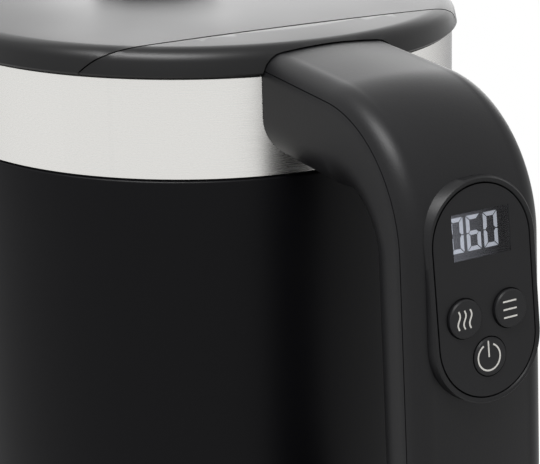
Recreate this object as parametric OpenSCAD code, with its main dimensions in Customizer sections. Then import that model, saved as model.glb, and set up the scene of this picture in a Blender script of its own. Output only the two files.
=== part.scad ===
// Gooseneck electric kettle with a hinged lid, a control panel on the handle
// and a lift-off power base.
// Origin: kettle axis, level of the underside of the base feet. +Z up,
// handle towards +X, spout towards -X. All lengths in millimetres.

/* [Body] */
// Radius of the black shell at its top edge
shell_top_r = 74.9; // [66:0.05:90]
// Height of the lid's lower edge above the underside of the base feet
lid_z = 200; // [190:1:260]
// How far the steel collar's top lies inside the shell's top edge
collar_in = 1.25; // [1:0.05:1.6]
// Height from the shell's top edge to the steel collar's top
collar_h = 26.1; // [15:0.1:40]
// How much wider the black shell is at its bottom edge
shell_flare = 3.3; // [1:0.1:6]
// Wall of the black shell
shell_wall = 2.2; // [1.2:0.1:2.4]
// How far the steel vessel lies inside the shell's top edge
vessel_in = 3; // [2.9:0.1:4]
// Wall of the steel vessel
vessel_wall = 0.8; // [0.5:0.1:1.5]
// Height of the vessel floor above the underside of the body
floor_rise = 26; // [24:1:40]
// Sheet thickness of the steel collar
collar_wall = 0.7; // [0.5:0.1:1]

/* [Lid] */
// How far the lid reaches past the shell's top edge
lid_over = 0.1; // [0:0.05:1.5]
// Height of the lid's crown above its lower edge
lid_crown = 9.2; // [8.6:0.1:12]
// Height of the lid's shoulder above its lower edge
lid_shoulder = 7; // [6.8:0.1:7.6]
// Radius of the rounded shoulder
lid_round = 4.8; // [2:0.1:5]
// Wall of the lid and of the hinge cover
lid_wall = 2; // [1.5:0.1:2.2]
// Distance of the hinge pin from the lid's edge
hinge_in = 12; // [11.8:0.1:12.4]
// Height of the hinge pin above the lid's lower edge
hinge_h = 2.2; // [1.9:0.1:2.3]
// Radius of the hinge pin
pin_r = 1.5; // [1:0.1:1.8]
// Radius of the rounded front face of the hinge cover
seam_r = 18; // [17:0.1:18.2]
// Distance of that face's centre from the lid's edge
seam_in = 12.3; // [11:0.1:12.7]
// Depth of that face's centre below the lid's lower edge
seam_drop = 9.2; // [9:0.1:9.9]
// Radius of the lid knob
knob_r = 20; // [16:0.5:26]
// Height of the lid knob above the lid
knob_h = 9; // [5:0.5:20]
// Distance of the lid knob from the kettle axis
knob_x = -27; // [-32:0.5:0]

/* [Handle] */
// Width of the handle
handle_w = 39; // [34:0.5:44]
// Radius of the handle's outer edges
handle_round = 6; // [5:0.1:7]
// Radius of the handle's inner edges
grip_round = 11; // [8:0.1:12]
// Depth of the grip from its outer to its inner face
grip_d = 19.5; // [18.5:0.1:24]
// Depth of the upper arm
arm_d = 27; // [22:0.1:29]
// Depth of the lower arm
foot_d = 22; // [19:0.1:25]
// Wall of the handle shells
handle_wall = 2; // [1.5:0.1:2.6]
// Depth of the parting line below the outer face
seam_d = 4; // [3.2:0.1:4.4]
// Height of the handle's top above the lid's lower edge, at the body
arm_h = 4.8; // [4.2:0.1:5.4]
// Straight reach of the upper arm past the lid's edge
arm_reach = 25.7; // [24.8:0.1:26.6]
// Outer radius of the bend between upper arm and grip
bend_r = 36.4; // [35:0.1:38]
// Straight length of the grip
grip_l = 55; // [50:1:90]

/* [Panel] */
// Width of the panel insert
panel_w = 26.8; // [24:0.1:28]
// Length of the panel insert
panel_l = 49; // [46:0.1:56]
// How far the panel's centre lies out from the lid's edge
panel_out = 62.2; // [61.5:0.1:64]
// Depth of the panel's centre below the lid's lower edge
panel_drop = 39.2; // [36:0.1:44]
// Backward tilt of the panel
panel_tilt = 9.5; // [8.5:0.1:10.5]
// Width of the display window
window_w = 16; // [12:0.1:18]
// Height of the display window
window_h = 10.7; // [8:0.1:12]
// Diameter of each button
button_d = 9; // [7:0.1:9.6]
// Travel of each button
button_travel = 0.8; // [0.3:0.1:1.2]
// Distance of the upper two buttons from the panel's centre line
button_x = 6.4; // [5.6:0.1:7]

/* [Spout] */
// Outer radius of the spout at its root
spout_root_r = 13.5; // [10:0.5:16]
// Outer radius of the spout at its tip
spout_tip_r = 6.2; // [5:0.1:8]
// Wall of the spout tube
spout_wall = 1; // [0.7:0.1:1.5]
// Height of the spout root above the vessel floor
spout_up = 21; // [20:0.5:40]
// Length of the spout's rising straight
spout_rise = 80; // [50:1:90]

/* [Base] */
// Radius of the power base
base_r = 80; // [74:0.5:95]
// Height of the power base's top above its feet's underside
base_h = 20; // [16:0.5:30]
// Radius of the connector tower
tower_r = 12.5; // [9:0.1:15]
// Height of the connector tower above the base
tower_h = 17; // [10:0.5:18]
// Wall of the base housing
base_wall = 2.2; // [1.5:0.1:3]

/* [Hidden] */
$fn = 96;
eps = 0.01;              // overlap of cutting solids past the faces they cut
big = 400;               // larger than any part of the kettle

// clearances
fit = 0.05;              // running fit of a pin in its bore
slip = 0.3;              // space between pieces that only lie close
seal_gap = 0.6;          // space round the lid plug for its swing
seam_gap = 0.35;         // joint between lid and hinge cover
button_gap = 0.25;       // space round each button

// screws, all of one size
screw_r = 1.5;
head_r = 2.9;
head_h = 2;
head_seat_r = 3.4;       // recess for a screw head

// radii
lid_r = shell_top_r + lid_over;              // largest radius of the lid
collar_r = shell_top_r - collar_in;          // steel collar at its top
collar_foot_r = collar_r + 0.7;              // steel collar at its bottom
shell_bottom_r = shell_top_r + shell_flare;  // black shell at its bottom edge
vessel_r = shell_top_r - vessel_in;          // outside of the steel vessel
cover_r = shell_bottom_r - 4.2;              // bottom cover inside the shell
hinge_x = lid_r - hinge_in;
seam_x = lid_r - seam_in;
panel_x = lid_r + panel_out;

// levels
kettle_z = base_h + slip;                    // underside of the kettle's own feet
foot_h = 2.2;                                // height of the kettle's feet
body_z = kettle_z + foot_h;                  // underside of the body
floor_z = body_z + floor_rise;               // top of the vessel floor
spout_z = floor_z + spout_up;                // axis of the spout where it leaves the shell
collar_z = lid_z - slip;                     // top of the steel collar
shell_z = collar_z - collar_h;               // top edge of the black shell
hinge_z = lid_z + hinge_h;
seam_z = lid_z - seam_drop;

// ---------------------------------------------------------------- helpers
module ring(r_out, r_in, h) {
    difference() {
        cylinder(r = r_out, h = h);
        translate([0, 0, -eps]) cylinder(r = r_in, h = h + 2 * eps);
    }
}

module along_x(x, y, z, r, h) {
    translate([x, y, z]) rotate([0, 90, 0]) cylinder(r = r, h = h, $fn = 48);
}

// A screw pointing up from its head's upper face, which lies at the origin
module screw(length, head = head_h) {
    translate([0, 0, -head]) cylinder(r = head_r, h = head);
    cylinder(r = screw_r, h = length);
}

module along_y(x, z, r, y0, y1) {
    translate([x, y1, z]) rotate([90, 0, 0]) cylinder(r = r, h = y1 - y0, $fn = 96);
}

// A bent strip lofted through stations. Each station is one row of points along the outside
// followed by the same number back along the inside, and the ends are closed across the strip
module loft(stations) {
    n = len(stations[0]);
    m = len(stations);
    t = (m - 1) * n;
    pts = [for (s = stations) each s];
    sides = [for (i = [0 : m - 2], j = [0 : n - 1])
             let (a = i * n + j, b = i * n + (j + 1) % n)
             each [[a, b, b + n], [a, b + n, a + n]]];
    ends = [for (j = [0 : n / 2 - 2])
            each [[j + 1, j, n - 1 - j], [j + 1, n - 1 - j, n - 2 - j],
                  [t + j, t + j + 1, t + n - 1 - j], [t + j + 1, t + n - 2 - j, t + n - 1 - j]]];
    polyhedron(points = pts, faces = concat(sides, ends), convexity = 8);
}

// Stations [x, z, heading, distance] along straights and arcs. Each stretch is
// [length, clockwise turn in degrees, steps]
function walk(x, z, a, d, route, i = 0, k = 0) =
    i >= len(route) ? [[x, z, a, d]] :
    let (step = route[i][0] / route[i][2],
         turn = route[i][1] / route[i][2],
         chord = turn == 0 ? step : 2 * step / (turn * PI / 180) * sin(turn / 2),
         mid = a - turn / 2,
         next = k + 1 < route[i][2])
    concat([[x, z, a, d]],
           walk(x + chord * cos(mid), z + chord * sin(mid), a - turn, d + step,
                route, next ? i : i + 1, next ? k + 1 : 0));

function arc_length(r, turn) = r * turn * PI / 180;

// ---------------------------------------------------------------- lid outline
// Lid and hinge cover share one turned outline, in from it by inset
dome_r = (pow(lid_r - lid_round, 2) + pow(lid_crown - lid_shoulder, 2))
         / (2 * (lid_crown - lid_shoulder));
skirt_lean = 0.8;        // the skirt is this much narrower under the rounded shoulder
skirt_turn = 20;         // the rounding stops this far from upright, degrees
skirt_bevel = 0.6;       // bevel of the skirt's lower edge

function lid_top(r, inset) =
    lid_crown - inset - (dome_r - sqrt(pow(dome_r, 2) - pow(r, 2)));

function lid_outline(inset) =
    let (edge = lid_r - skirt_lean - lid_round * cos(skirt_turn),
         turn = lid_round - min(inset, lid_round - 0.5),
         top = [for (r = [0 : 10]) [r * edge / 10, lid_top(r * edge / 10, inset)]],
         side = [for (a = [80 : -15 : skirt_turn])
                 [edge + turn * cos(a), lid_top(edge, 0) - lid_round + turn * sin(a)]],
         foot = inset > 0
             ? [[lid_r - inset, skirt_bevel], [lid_r - inset, -eps], [0, -eps]]
             : [[lid_r, skirt_bevel], [lid_r - skirt_bevel, 0], [0, 0]])
    concat(top, side, foot);

module lid_body(inset) {
    translate([0, 0, lid_z]) rotate_extrude($fn = 180) polygon(lid_outline(inset));
}

// Space behind the curved joint between lid and hinge cover
module behind_seam(r) {
    union() {
        along_y(seam_x, seam_z, r, -big / 2, big / 2);
        translate([seam_x, -big / 2, lid_z - big / 2]) cube([big, big, big]);
    }
}

// ---------------------------------------------------------------- handle path
handle_start_x = lid_r - 9;                  // the handle's path starts inside the body
arm_fall = 3.4;                              // slope of the upper arm
arm_level_x = lid_r - 1;                     // arm_h is measured here
grip_lean = 5.2;                             // the grip leans outwards going down
arm_run = lid_r + arm_reach - handle_start_x; // length of the upper arm's straight
bend_turn = 90 - grip_lean - arm_fall;
low_turn = 26;                               // turn of the lower grip
low_r = 110;                                 // radius of the lower grip's curve
foot_turn = 58;                              // turn of the lower bend
foot_r = 28;                                 // radius of the lower bend
foot_run = 66;                               // straight of the lower arm, into the body
arm_thins = 0.5;                             // the arm is this much shallower at the bend
low_grows = 1;                               // the grip is this much deeper at its lower end
handle_route = [
    [arm_run / cos(arm_fall), 0, 4],
    [arc_length(bend_r, bend_turn), bend_turn, 10],
    [grip_l, 0, 5],
    [arc_length(low_r, low_turn), low_turn, 6],
    [arc_length(foot_r, foot_turn), foot_turn, 8],
    [foot_run, 0, 4]];
handle_path = walk(handle_start_x, lid_z + arm_h + (arm_level_x - handle_start_x) * tan(arm_fall),
                   -arm_fall, 0, handle_route);
bend_from = handle_route[0][0];
bend_to = bend_from + handle_route[1][0];
low_from = bend_to + handle_route[2][0];
low_to = low_from + handle_route[3][0];
handle_depths = [[0, arm_d], [bend_from, arm_d - arm_thins], [bend_to, grip_d],
                 [low_from, grip_d], [low_to, grip_d + low_grows], [low_to + handle_route[4][0], foot_d],
                 [low_to + handle_route[4][0] + foot_run, foot_d]];
crown_h = 0.8;                               // crown of the handle's outer face
parting = 0.12;                              // half of the gap at the parting line
arm_into_lid = 2.9;                          // the arm's top reaches this far under the lid cover

// Section points are [across, out]: out is 0 at the outer face's edge line
function crown_row(inset) =
    let (half = handle_w / 2 - handle_round)
    [for (k = [-4 : 4]) let (w = -half * k / 4) [w, crown_h * (1 - pow(k / 4, 2)) - inset]];

// angle on the outer corner where the depth is reached
function corner_angle(depth, inset) = asin((handle_round - depth) / (handle_round - inset));

function outer_corner(inset, a0, a1, side) =
    [for (k = [0 : 5]) let (a = a0 + (a1 - a0) * k / 5)
     [side * (handle_w / 2 - handle_round + (handle_round - inset) * cos(a)),
      -handle_round + (handle_round - inset) * sin(a)]];

function inner_corner(depth, inset, a0, a1, side) =
    [for (k = [0 : 7]) let (a = a0 + (a1 - a0) * k / 7)
     [side * (handle_w / 2 - grip_round + (grip_round - inset) * cos(a)),
      -(depth - grip_round) + (grip_round - inset) * sin(a)]];

function outer_half(inset) =
    let (a = corner_angle(seam_d - parting, inset))
    concat(outer_corner(inset, a, 88, 1), crown_row(inset), outer_corner(inset, 88, a, -1));

function inner_half(depth, inset) =
    let (a = corner_angle(seam_d + parting, inset))
    concat(outer_corner(inset, a, 0, 1), inner_corner(depth, inset, 0, -90, 1),
           inner_corner(depth, inset, -90, 0, -1), outer_corner(inset, 0, a, -1));

function reversed(p) = [for (i = [len(p) - 1 : -1 : 0]) p[i]];

// Point of a section at a station of the path
function placed(s, p) = [s[0] - sin(s[2]) * p[1], p[0], s[1] + cos(s[2]) * p[1]];

module handle_loft(kind) {
    loft([for (s = handle_path)
          let (depth = lookup(s[3], handle_depths),
               ring = kind == "outer"
                   ? concat(reversed(outer_half(0)), outer_half(handle_wall))
                   : concat(inner_half(depth, 0), reversed(inner_half(depth, handle_wall))))
          [for (p = ring) placed(s, p)]]);
}

// Bar along X with the section of the upper arm, grown by gap
module arm_prism(x0, x1, gap) {
    half = handle_w / 2 + gap;
    translate([x0, 0, lid_z + arm_h]) rotate([90, 0, 90]) linear_extrude(x1 - x0)
        polygon(concat(outer_corner(-gap, 0, 88, 1), crown_row(-gap),
                       outer_corner(-gap, 88, 0, -1), [[-half, -big / 4], [half, -big / 4]]));
}

// Everything inside the round body, so that the handle ends on its outside
module body_space(gap) {
    tall = shell_z - body_z;
    union() {
        translate([0, 0, shell_z - eps]) cylinder(r1 = collar_foot_r + gap, r2 = collar_r + gap,
                                                  h = collar_h + 2 * eps);
        translate([0, 0, shell_z]) mirror([0, 0, 1])
            cylinder(r1 = shell_top_r + gap, r2 = shell_bottom_r + gap, h = tall);
        translate([0, 0, collar_z]) cylinder(r = lid_r - arm_into_lid, h = lid_round + arm_h);
    }
}

// ---------------------------------------------------------------- panel frame
// Children are drawn with Z out of the panel and Y up along it
module on_panel(out = 0) {
    translate([panel_x, 0, lid_z - panel_drop]) rotate([0, 90 - panel_tilt, 0])
        rotate([0, 0, 90]) translate([0, 0, out]) children();
}

module stadium(w, l, h) {
    linear_extrude(h) union() {
        for (side = [-1, 1]) translate([0, side * (l - w) / 2]) circle(r = w / 2);
        translate([-w / 2, -(l - w) / 2]) square([w, l - w]);
    }
}

window_up = 13.3;        // window centre above the panel's centre
pair_up = -5.2;          // upper two buttons, from the panel's centre
power_up = -15.3;        // power button, from the panel's centre
insert_t = 1.6;          // thickness of the insert
board_t = 1.6;
board_out = -11;         // upper face of the board, below the panel's face
board_w = 24;
board_l = 50;
bezel_w = 1.25;          // width of the bezel's front face
bezel_gap = 0.35;        // groove between bezel and insert
bezel_d = 7;             // depth of the bezel's wall
bezel_lip = 0.4;         // the bezel stands this much proud of the insert
bezel_ledge = 1.5;       // ledge in the bezel that carries the insert
bezel_pin_r = 1.9;       // pins of the bezel that carry the board
button_spots = [[button_x, pair_up], [-button_x, pair_up], [0, power_up]];

// ---------------------------------------------------------------- body
vessel_floor_t = 1;      // thickness of the vessel's floor
vessel_corner = 6;       // outer radius between the vessel's floor and wall

module vessel() {
    under = floor_z - vessel_floor_t;
    top = collar_z - collar_wall;
    color("silver") difference() {
        rotate_extrude($fn = 180) difference() {
            union() {
                translate([0, under + vessel_corner])
                    square([vessel_r, top - under - vessel_corner]);
                translate([0, under]) square([vessel_r - vessel_corner, vessel_corner]);
                translate([vessel_r - vessel_corner, under + vessel_corner])
                    circle(r = vessel_corner);
            }
            translate([0, under + vessel_corner])
                square([vessel_r - vessel_wall, top - floor_z]);
            translate([0, floor_z]) square([vessel_r - vessel_corner, vessel_corner]);
            translate([vessel_r - vessel_corner, under + vessel_corner])
                circle(r = vessel_corner - vessel_wall);
        }
        spout_bore(spout_root_r - spout_wall, 0);
        translate([sensor_x, 0, under - 1])
            cylinder(r = sensor_r + fit, h = vessel_floor_t + 2);
        arm_screw_holes();
    }
}

collar_edge = 0.3;       // bevel at the collar's top edge
collar_hem = 0.1;        // bevel at its lower edge
collar_tuck = 3;         // the collar reaches this far down inside the shell
groove_h = 0.4;          // groove between the collar and the shell
groove_d = 1;
tuck_r = collar_foot_r - groove_d;           // outside of the collar inside the shell

module steel_collar() {
    inner = vessel_r - vessel_wall;
    foot_z = shell_z - collar_tuck;
    edge_z = shell_z + groove_h;             // lower edge of what shows of the collar
    color("gainsboro") difference() {
        rotate_extrude($fn = 180) difference() {
            polygon([[inner, collar_z], [collar_r - collar_edge, collar_z],
                     [collar_r, collar_z - collar_edge],
                     [collar_foot_r, edge_z + collar_hem], [collar_foot_r - collar_hem, edge_z],
                     [tuck_r, edge_z], [tuck_r, foot_z], [inner, foot_z]]);
            polygon([[0, collar_z - collar_wall],
                     [collar_r - collar_wall, collar_z - collar_wall],
                     [collar_foot_r - collar_wall, edge_z + collar_wall],
                     [tuck_r - collar_wall, edge_z + collar_wall],
                     [tuck_r - collar_wall, foot_z - eps], [0, foot_z - eps]]);
        }
        arm_screw_holes();
    }
}

function shell_r_at(z) =
    shell_top_r + (shell_bottom_r - shell_top_r) * (shell_z - z) / (shell_z - body_z);

shell_round = 0.6;       // radius of the shell's top edge
shell_lip = 0.6;         // wall of the lip that carries the collar, at the back of the groove
shell_edge = 2.5;        // radius of the shell's lower edge
shell_rim_h = 3.5;       // depth of the rim that holds the collar's foot

module body_shell() {
    low = body_z + shell_edge;
    rim_z = shell_z - shell_rim_h;
    color("#1c1c1e") difference() {
        rotate_extrude($fn = 180) difference() {
            polygon(concat(
                [[0, shell_z + groove_h - fit], [tuck_r + shell_lip, shell_z + groove_h - fit],
                 [tuck_r + shell_lip, shell_z]],
                [for (a = [90 : -22.5 : 0]) [shell_top_r - shell_round * (1 - cos(a)),
                                             shell_z - shell_round * (1 - sin(a))]],
                [for (a = [0 : -15 : -90]) [shell_r_at(low) - shell_edge * (1 - cos(a)),
                                            low + shell_edge * sin(a)]],
                [[0, body_z]]));
            polygon([[0, shell_z + groove_h], [tuck_r + fit, shell_z + groove_h],
                     [tuck_r + fit, rim_z], [shell_top_r - shell_wall - slip, rim_z],
                     [shell_r_at(body_z) - shell_wall - slip, low],
                     [cover_r + fit, low], [cover_r + fit, body_z - eps],
                     [0, body_z - eps]]);
        }
        spout_bore(spout_root_r + fit, 1);
        for (z = foot_screw_z) along_x(shell_top_r - 6, 0, z, screw_r + fit, 14);
    }
}

// bottom cover and the heater, connector and sensor above it
cover_t = 2.5;           // thickness of the bottom cover
cover_screw_a = [30, 150, 270];
cover_screw_d = cover_r - 14;
cover_head_h = 1;        // height of the cover screws' flat heads
cover_head_z = body_z + 1.4;                 // upper face of those heads
cover_boss_r = 4;
cover_boss_h = 14;
foot_pad_r = 4.5;        // radius of the kettle's feet
foot_pad_d = cover_r - 7;
heat_r = vessel_r - 13.9;                    // radius of the heat plate
heat_t = 3;              // thickness of the heat plate
heat_z = floor_z - vessel_floor_t - heat_t;  // underside of the heat plate
element_r = 3.3;         // radius of the element's tube
element_ring = vessel_r - 27.9;              // radius of its bend
element_turn = 320;      // the element runs this far round
element_from = 200;
terminal_r = 1.6;
terminal_l = 6;
sensor_x = 30;
sensor_r = 3;
sensor_up = 5;           // height of the sensor's tip above the floor
sensor_down = 12;        // depth of its stem below the floor
socket_r = 27;           // flange of the connector socket
socket_flange_t = 3;
socket_bore = tower_r + 1.2;
socket_body = 6;         // wall of the socket's body
socket_neck = 2;         // wall of its upper neck, inside the element
contact_levels = [6.5, 10.5];                // contact rings above the underside of the body
contact_h = 2;

module bottom_cover() {
    color("#232326") difference() {
        union() {
            translate([0, 0, body_z]) cylinder(r = cover_r, h = cover_t, $fn = 180);
            for (a = cover_screw_a) rotate(a) translate([cover_screw_d, 0, body_z])
                cylinder(r = cover_boss_r, h = cover_boss_h);
        }
        translate([0, 0, body_z - 1]) cylinder(r = socket_r - 3, h = cover_t + 2);
        for (a = cover_screw_a) rotate(a) translate([cover_screw_d, 0, body_z - 1]) {
            cylinder(r = screw_r + fit, h = cover_boss_h + 2);
            cylinder(r = head_seat_r, h = cover_head_z - body_z + 1);
        }
    }
}

module kettle_feet() {
    color("#111111") for (a = [0 : 120 : 240]) rotate(a) translate([foot_pad_d, 0, kettle_z])
        cylinder(r = foot_pad_r, h = foot_h);
}

module bottom_screws() {
    color("silver") for (a = cover_screw_a) rotate(a) translate([cover_screw_d, 0, cover_head_z])
        screw(cover_boss_h - 3, cover_head_h);
}

module heat_plate() {
    color("#b8babd") difference() {
        translate([0, 0, heat_z]) cylinder(r = heat_r, h = heat_t, $fn = 180);
        translate([sensor_x, 0, heat_z - 1]) cylinder(r = sensor_r + fit, h = heat_t + 2);
    }
}

module heating_element() {
    color("#8d8f93") translate([0, 0, heat_z - element_r]) rotate([0, 0, element_from])
        rotate_extrude(angle = element_turn) translate([element_ring, 0]) circle(r = element_r);
}

// One straight pin on each end of the element
module element_terminals() {
    color("#c9a24b") for (end = [0, 1]) rotate(element_from + end * element_turn)
        translate([element_ring, end == 0 ? -terminal_l : 0, heat_z - element_r])
            rotate([-90, 0, 0]) cylinder(r = terminal_r, h = terminal_l);
}

module control_socket() {
    flange_z = body_z + cover_t;
    neck_z = heat_z - 2 * element_r - 0.5;
    color("#2b2b2f") difference() {
        union() {
            translate([0, 0, flange_z]) cylinder(r = socket_r, h = socket_flange_t);
            translate([0, 0, flange_z + socket_flange_t])
                cylinder(r = socket_bore + socket_body, h = neck_z - flange_z - socket_flange_t);
            translate([0, 0, neck_z]) cylinder(r = socket_bore + socket_neck, h = heat_z - neck_z);
        }
        translate([0, 0, body_z - 1]) cylinder(r = socket_bore, h = tower_h + 2.2);
        translate([sensor_x, 0, body_z]) cylinder(r = sensor_r + slip, h = floor_rise);
    }
}

module socket_contacts() {
    color("#c9a24b") for (level = contact_levels) translate([0, 0, body_z + level])
        ring(socket_bore, socket_bore - 0.5, contact_h);
}

module temperature_sensor() {
    color("silver") translate([sensor_x, 0, floor_z]) {
        translate([0, 0, -sensor_down]) cylinder(r = sensor_r, h = sensor_down + sensor_up);
        translate([0, 0, sensor_up]) sphere(r = sensor_r);
    }
}

// ---------------------------------------------------------------- spout
spout_start = vessel_r - 19.9;               // the spout's path starts inside the vessel
spout_head = 14;                             // it leaves the body rising at this angle
spout_bend_r = 38;                           // radius of the lower bend
spout_bend = 62;                             // turn from the root to the rising straight
tip_bend_r = 27;                             // radius of the upper bend
tip_bend = 98;                               // turn from the rising straight to the tip
tip_run = 9;                                 // straight at the tip
spout_slims = 0.68;                          // share of the root's radius after the lower bend
spout_swells = 0.6;                          // the tube is this much wider before the upper bend
spout_root_run = (shell_top_r + 1 - spout_start) / cos(spout_head);
spout_route = [
    [spout_root_run, 0, 3],
    [arc_length(spout_bend_r, spout_bend), -spout_bend, 10],
    [spout_rise, 0, 6],
    [arc_length(tip_bend_r, tip_bend), tip_bend, 14],
    [tip_run, 0, 2]];
spout_path = walk(spout_start, spout_z - (shell_top_r - spout_start) * tan(spout_head),
                  spout_head, 0, spout_route);
spout_end = spout_path[len(spout_path) - 1][3];
spout_bend_end = spout_root_run + spout_route[1][0];
spout_radii = [[0, spout_root_r], [spout_root_run, spout_root_r],
               [spout_bend_end, spout_root_r * spout_slims],
               [spout_bend_end + spout_rise, spout_tip_r + spout_swells],
               [spout_end, spout_tip_r]];
spout_sides = 28;

function spout_ring(s, inset) =
    let (r = lookup(s[3], spout_radii) - inset)
    [for (k = [0 : spout_sides - 1]) let (a = 360 * k / spout_sides)
     [-(s[0] - sin(s[2]) * r * cos(a)), r * sin(a), s[1] + cos(s[2]) * r * cos(a)]];

// Bore through body walls along the spout's root
module spout_bore(r, gap) {
    translate([-spout_path[0][0], 0, spout_path[0][1]]) rotate([0, -90 + spout_head, 0])
        translate([0, 0, -2]) cylinder(r = r, h = spout_root_run + 2 + gap * 6, $fn = 72);
}

// Tube wall: outer and inner surfaces joined by a ring at each end
module spout_tube() {
    n = spout_sides;
    m = len(spout_path);
    pts = [for (inset = [0, spout_wall]) each [for (s = spout_path) each spout_ring(s, inset)]];
    far = n * m;
    walls = [for (i = [0 : m - 2], j = [0 : n - 1])
             let (a = i * n + j, b = i * n + (j + 1) % n)
             each [[a, a + n, b + n, b], [far + a, far + b, far + b + n, far + a + n]]];
    ends = [for (j = [0 : n - 1])
            let (b = (j + 1) % n, t = (m - 1) * n)
            each [[j, b, far + b, far + j], [t + j, far + t + j, far + t + b, t + b]]];
    polyhedron(points = pts, faces = concat(walls, ends), convexity = 8);
}

module spout() {
    color("silver") difference() {
        spout_tube();
        translate([0, 0, body_z]) cylinder(r = vessel_r + fit, h = spout_z, $fn = 180);
    }
}

module at_spout_root(out) {
    translate([-spout_path[0][0], 0, spout_path[0][1]]) rotate([0, -90 + spout_head, 0])
        translate([0, 0, spout_root_run + out]) children();
}

flange_foot = 8;         // the spout flange is this much wider than the spout at its foot
flange_lip = 3;          // and this much wider at its outer end
flange_l = 11;

module spout_flange() {
    color("silver") difference() {
        at_spout_root(flange_lip - flange_l)
            cylinder(r1 = spout_root_r + flange_foot, r2 = spout_root_r + flange_lip, h = flange_l);
        at_spout_root(-flange_l - 1) cylinder(r = spout_root_r + fit, h = 2 * flange_l, $fn = 72);
        translate([0, 0, body_z]) cylinder(r1 = shell_bottom_r + fit, r2 = shell_top_r + fit,
                                           h = shell_z - body_z, $fn = 180);
    }
}

// Rubber ring round the spout, between the vessel and the shell
seal_t = 1.2;
seal_w = 1.6;

module spout_seal() {
    color("#3a3a3e") intersection() {
        difference() {
            spout_bore(spout_root_r + seal_w, 1);
            spout_bore(spout_root_r + fit, 2);
        }
        translate([0, 0, floor_z])
            ring(vessel_r + seal_t, vessel_r + fit, 2 * spout_up);
    }
}

strainer_t = 0.8;
strainer_over = 1.3;     // the strainer reaches this far past the spout's wall
strainer_hole = 1.4;
strainer_pitch = 5.2;

module strainer() {
    outer = vessel_r - vessel_wall - 0.02;
    color("#c8cacd") intersection() {
        translate([0, 0, floor_z]) ring(outer, outer - strainer_t + 0.02, 2 * spout_up + floor_rise);
        difference() {
            spout_bore(spout_root_r + strainer_over, 0);
            for (i = [-2 : 2], j = [-2 : 2]) if (abs(i) + abs(j) < 4)
                translate([-vessel_r - 10, i * strainer_pitch, spout_z + j * strainer_pitch - 1])
                    rotate([0, 90, 0]) cylinder(r = strainer_hole, h = 30, $fn = 16);
        }
    }
}

// ---------------------------------------------------------------- lid
ring_t = 1.6;                                // wall of the ring in the kettle's mouth
ring_r = vessel_r - vessel_wall - 0.2;       // outside of that ring
mouth_r = ring_r - ring_t;                   // bore of that ring
flange_r = vessel_r - fit;                   // flange of that ring on the collar
flange_h = 1.6;                              // thickness of that flange
seal_lip = 0.9;                              // the lid seal's lip past the plug
seal_root = 1.2;                             // depth of the seal's groove
seal_h = 2;                                  // height of the seal's groove
plug_r = mouth_r - seal_gap - seal_lip;      // radius of the plug under the lid
plug_t = 4;
plug_drop = 9;                               // depth of the plug's underside below the lid's edge
plug_back = hinge_x - 22;                    // the plug is cut straight here, clear of the hinge
plug_z = lid_z - plug_drop;                  // underside of the plug
plug_wall_r = plug_r - 3;                    // the wall that hangs the plug from the lid
shelf_drop = 13.5;                           // depth of the shelf that carries the hinge
shelf_t = 2.5;
shelf_x = hinge_x - 17;
shelf_z = lid_z - shelf_drop;                // upper face of that shelf
arm_y = 12.5;                                // inner face of each hinge arm
post_x = hinge_x - 6.5;                      // posts that hold the hinge cover
post_y = 6;
post_r = 2.8;
lid_arm_t = 5;

// Children on each of the two posts, at level z
module on_posts(z) {
    for (side = [-1, 1]) translate([post_x, side * post_y, z]) children();
}

module top_ring() {
    color("#26262a") difference() {
        union() {
            translate([0, 0, shelf_z - shelf_t])
                ring(ring_r, mouth_r, collar_z + flange_h / 2 - shelf_z + shelf_t);
            translate([0, 0, collar_z]) ring(flange_r, mouth_r, flange_h);
            intersection() {
                translate([0, 0, shelf_z - shelf_t])
                    cylinder(r = mouth_r + ring_t / 2, h = shelf_t);
                translate([shelf_x, -big / 2, lid_z - big / 2]) cube([big, big, big]);
            }
        }
        on_posts(shelf_z - 2 * shelf_t) cylinder(r = screw_r + fit, h = 3 * shelf_t);
        arm_screw_holes();
    }
}

module arm_screw_holes() {
    for (z = arm_screw_z) along_x(mouth_r - 2, 0, z, screw_r + fit, 14);
}

// Space kept free for the flange of the ring in the mouth
module flange_space() {
    translate([0, 0, collar_z - 2]) cylinder(r = flange_r + 0.4, h = flange_h + 2 + slip);
}

module lid_cap() {
    color("#2a2a2d") difference() {
        lid_body(0);
        behind_seam(seam_r + seam_gap);
        difference() {
            lid_body(lid_wall);
            behind_seam(seam_r + seam_gap + lid_wall);
        }
        translate([knob_x, 0, lid_z]) cylinder(r = screw_r + fit, h = 20);
        flange_space();
    }
}

// The plug hangs from the lid on a round wall and on a boss under the knob
module lid_plug() {
    wall_t = 2;
    boss_r = 5;
    top_z = plug_z + plug_t - eps;
    near = 0.1;          // what stands under the lid ends this far below it
    color("#c4c6c9") difference() {
        union() {
            translate([0, 0, plug_z]) cylinder(r = plug_r, h = plug_t, $fn = 180);
            translate([0, 0, top_z])
                ring(plug_wall_r, plug_wall_r - wall_t,
                     lid_z + lid_top(plug_r, lid_wall) - near - top_z);
            translate([knob_x, 0, top_z])
                ring(boss_r, head_r + slip,
                     lid_z + lid_top(abs(knob_x) + boss_r, lid_wall) - near - top_z);
        }
        translate([plug_back, -big / 2, lid_z - big / 2]) cube([big, big, big]);
        translate([0, 0, plug_z + (plug_t - seal_h) / 2])
            ring(plug_r + 1, plug_r - seal_root, seal_h);
    }
}

module lid_seal() {
    color("#8b8d90") difference() {
        union() {
            translate([0, 0, plug_z + (plug_t - seal_h) / 2])
                ring(plug_r, plug_r - seal_root, seal_h);
            translate([0, 0, plug_z + (plug_t - seal_h / 2) / 2])
                ring(plug_r + seal_lip, plug_r, seal_h / 2);
        }
        translate([plug_back, -big / 2, lid_z - big / 2]) cube([big, big, big]);
    }
}

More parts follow.
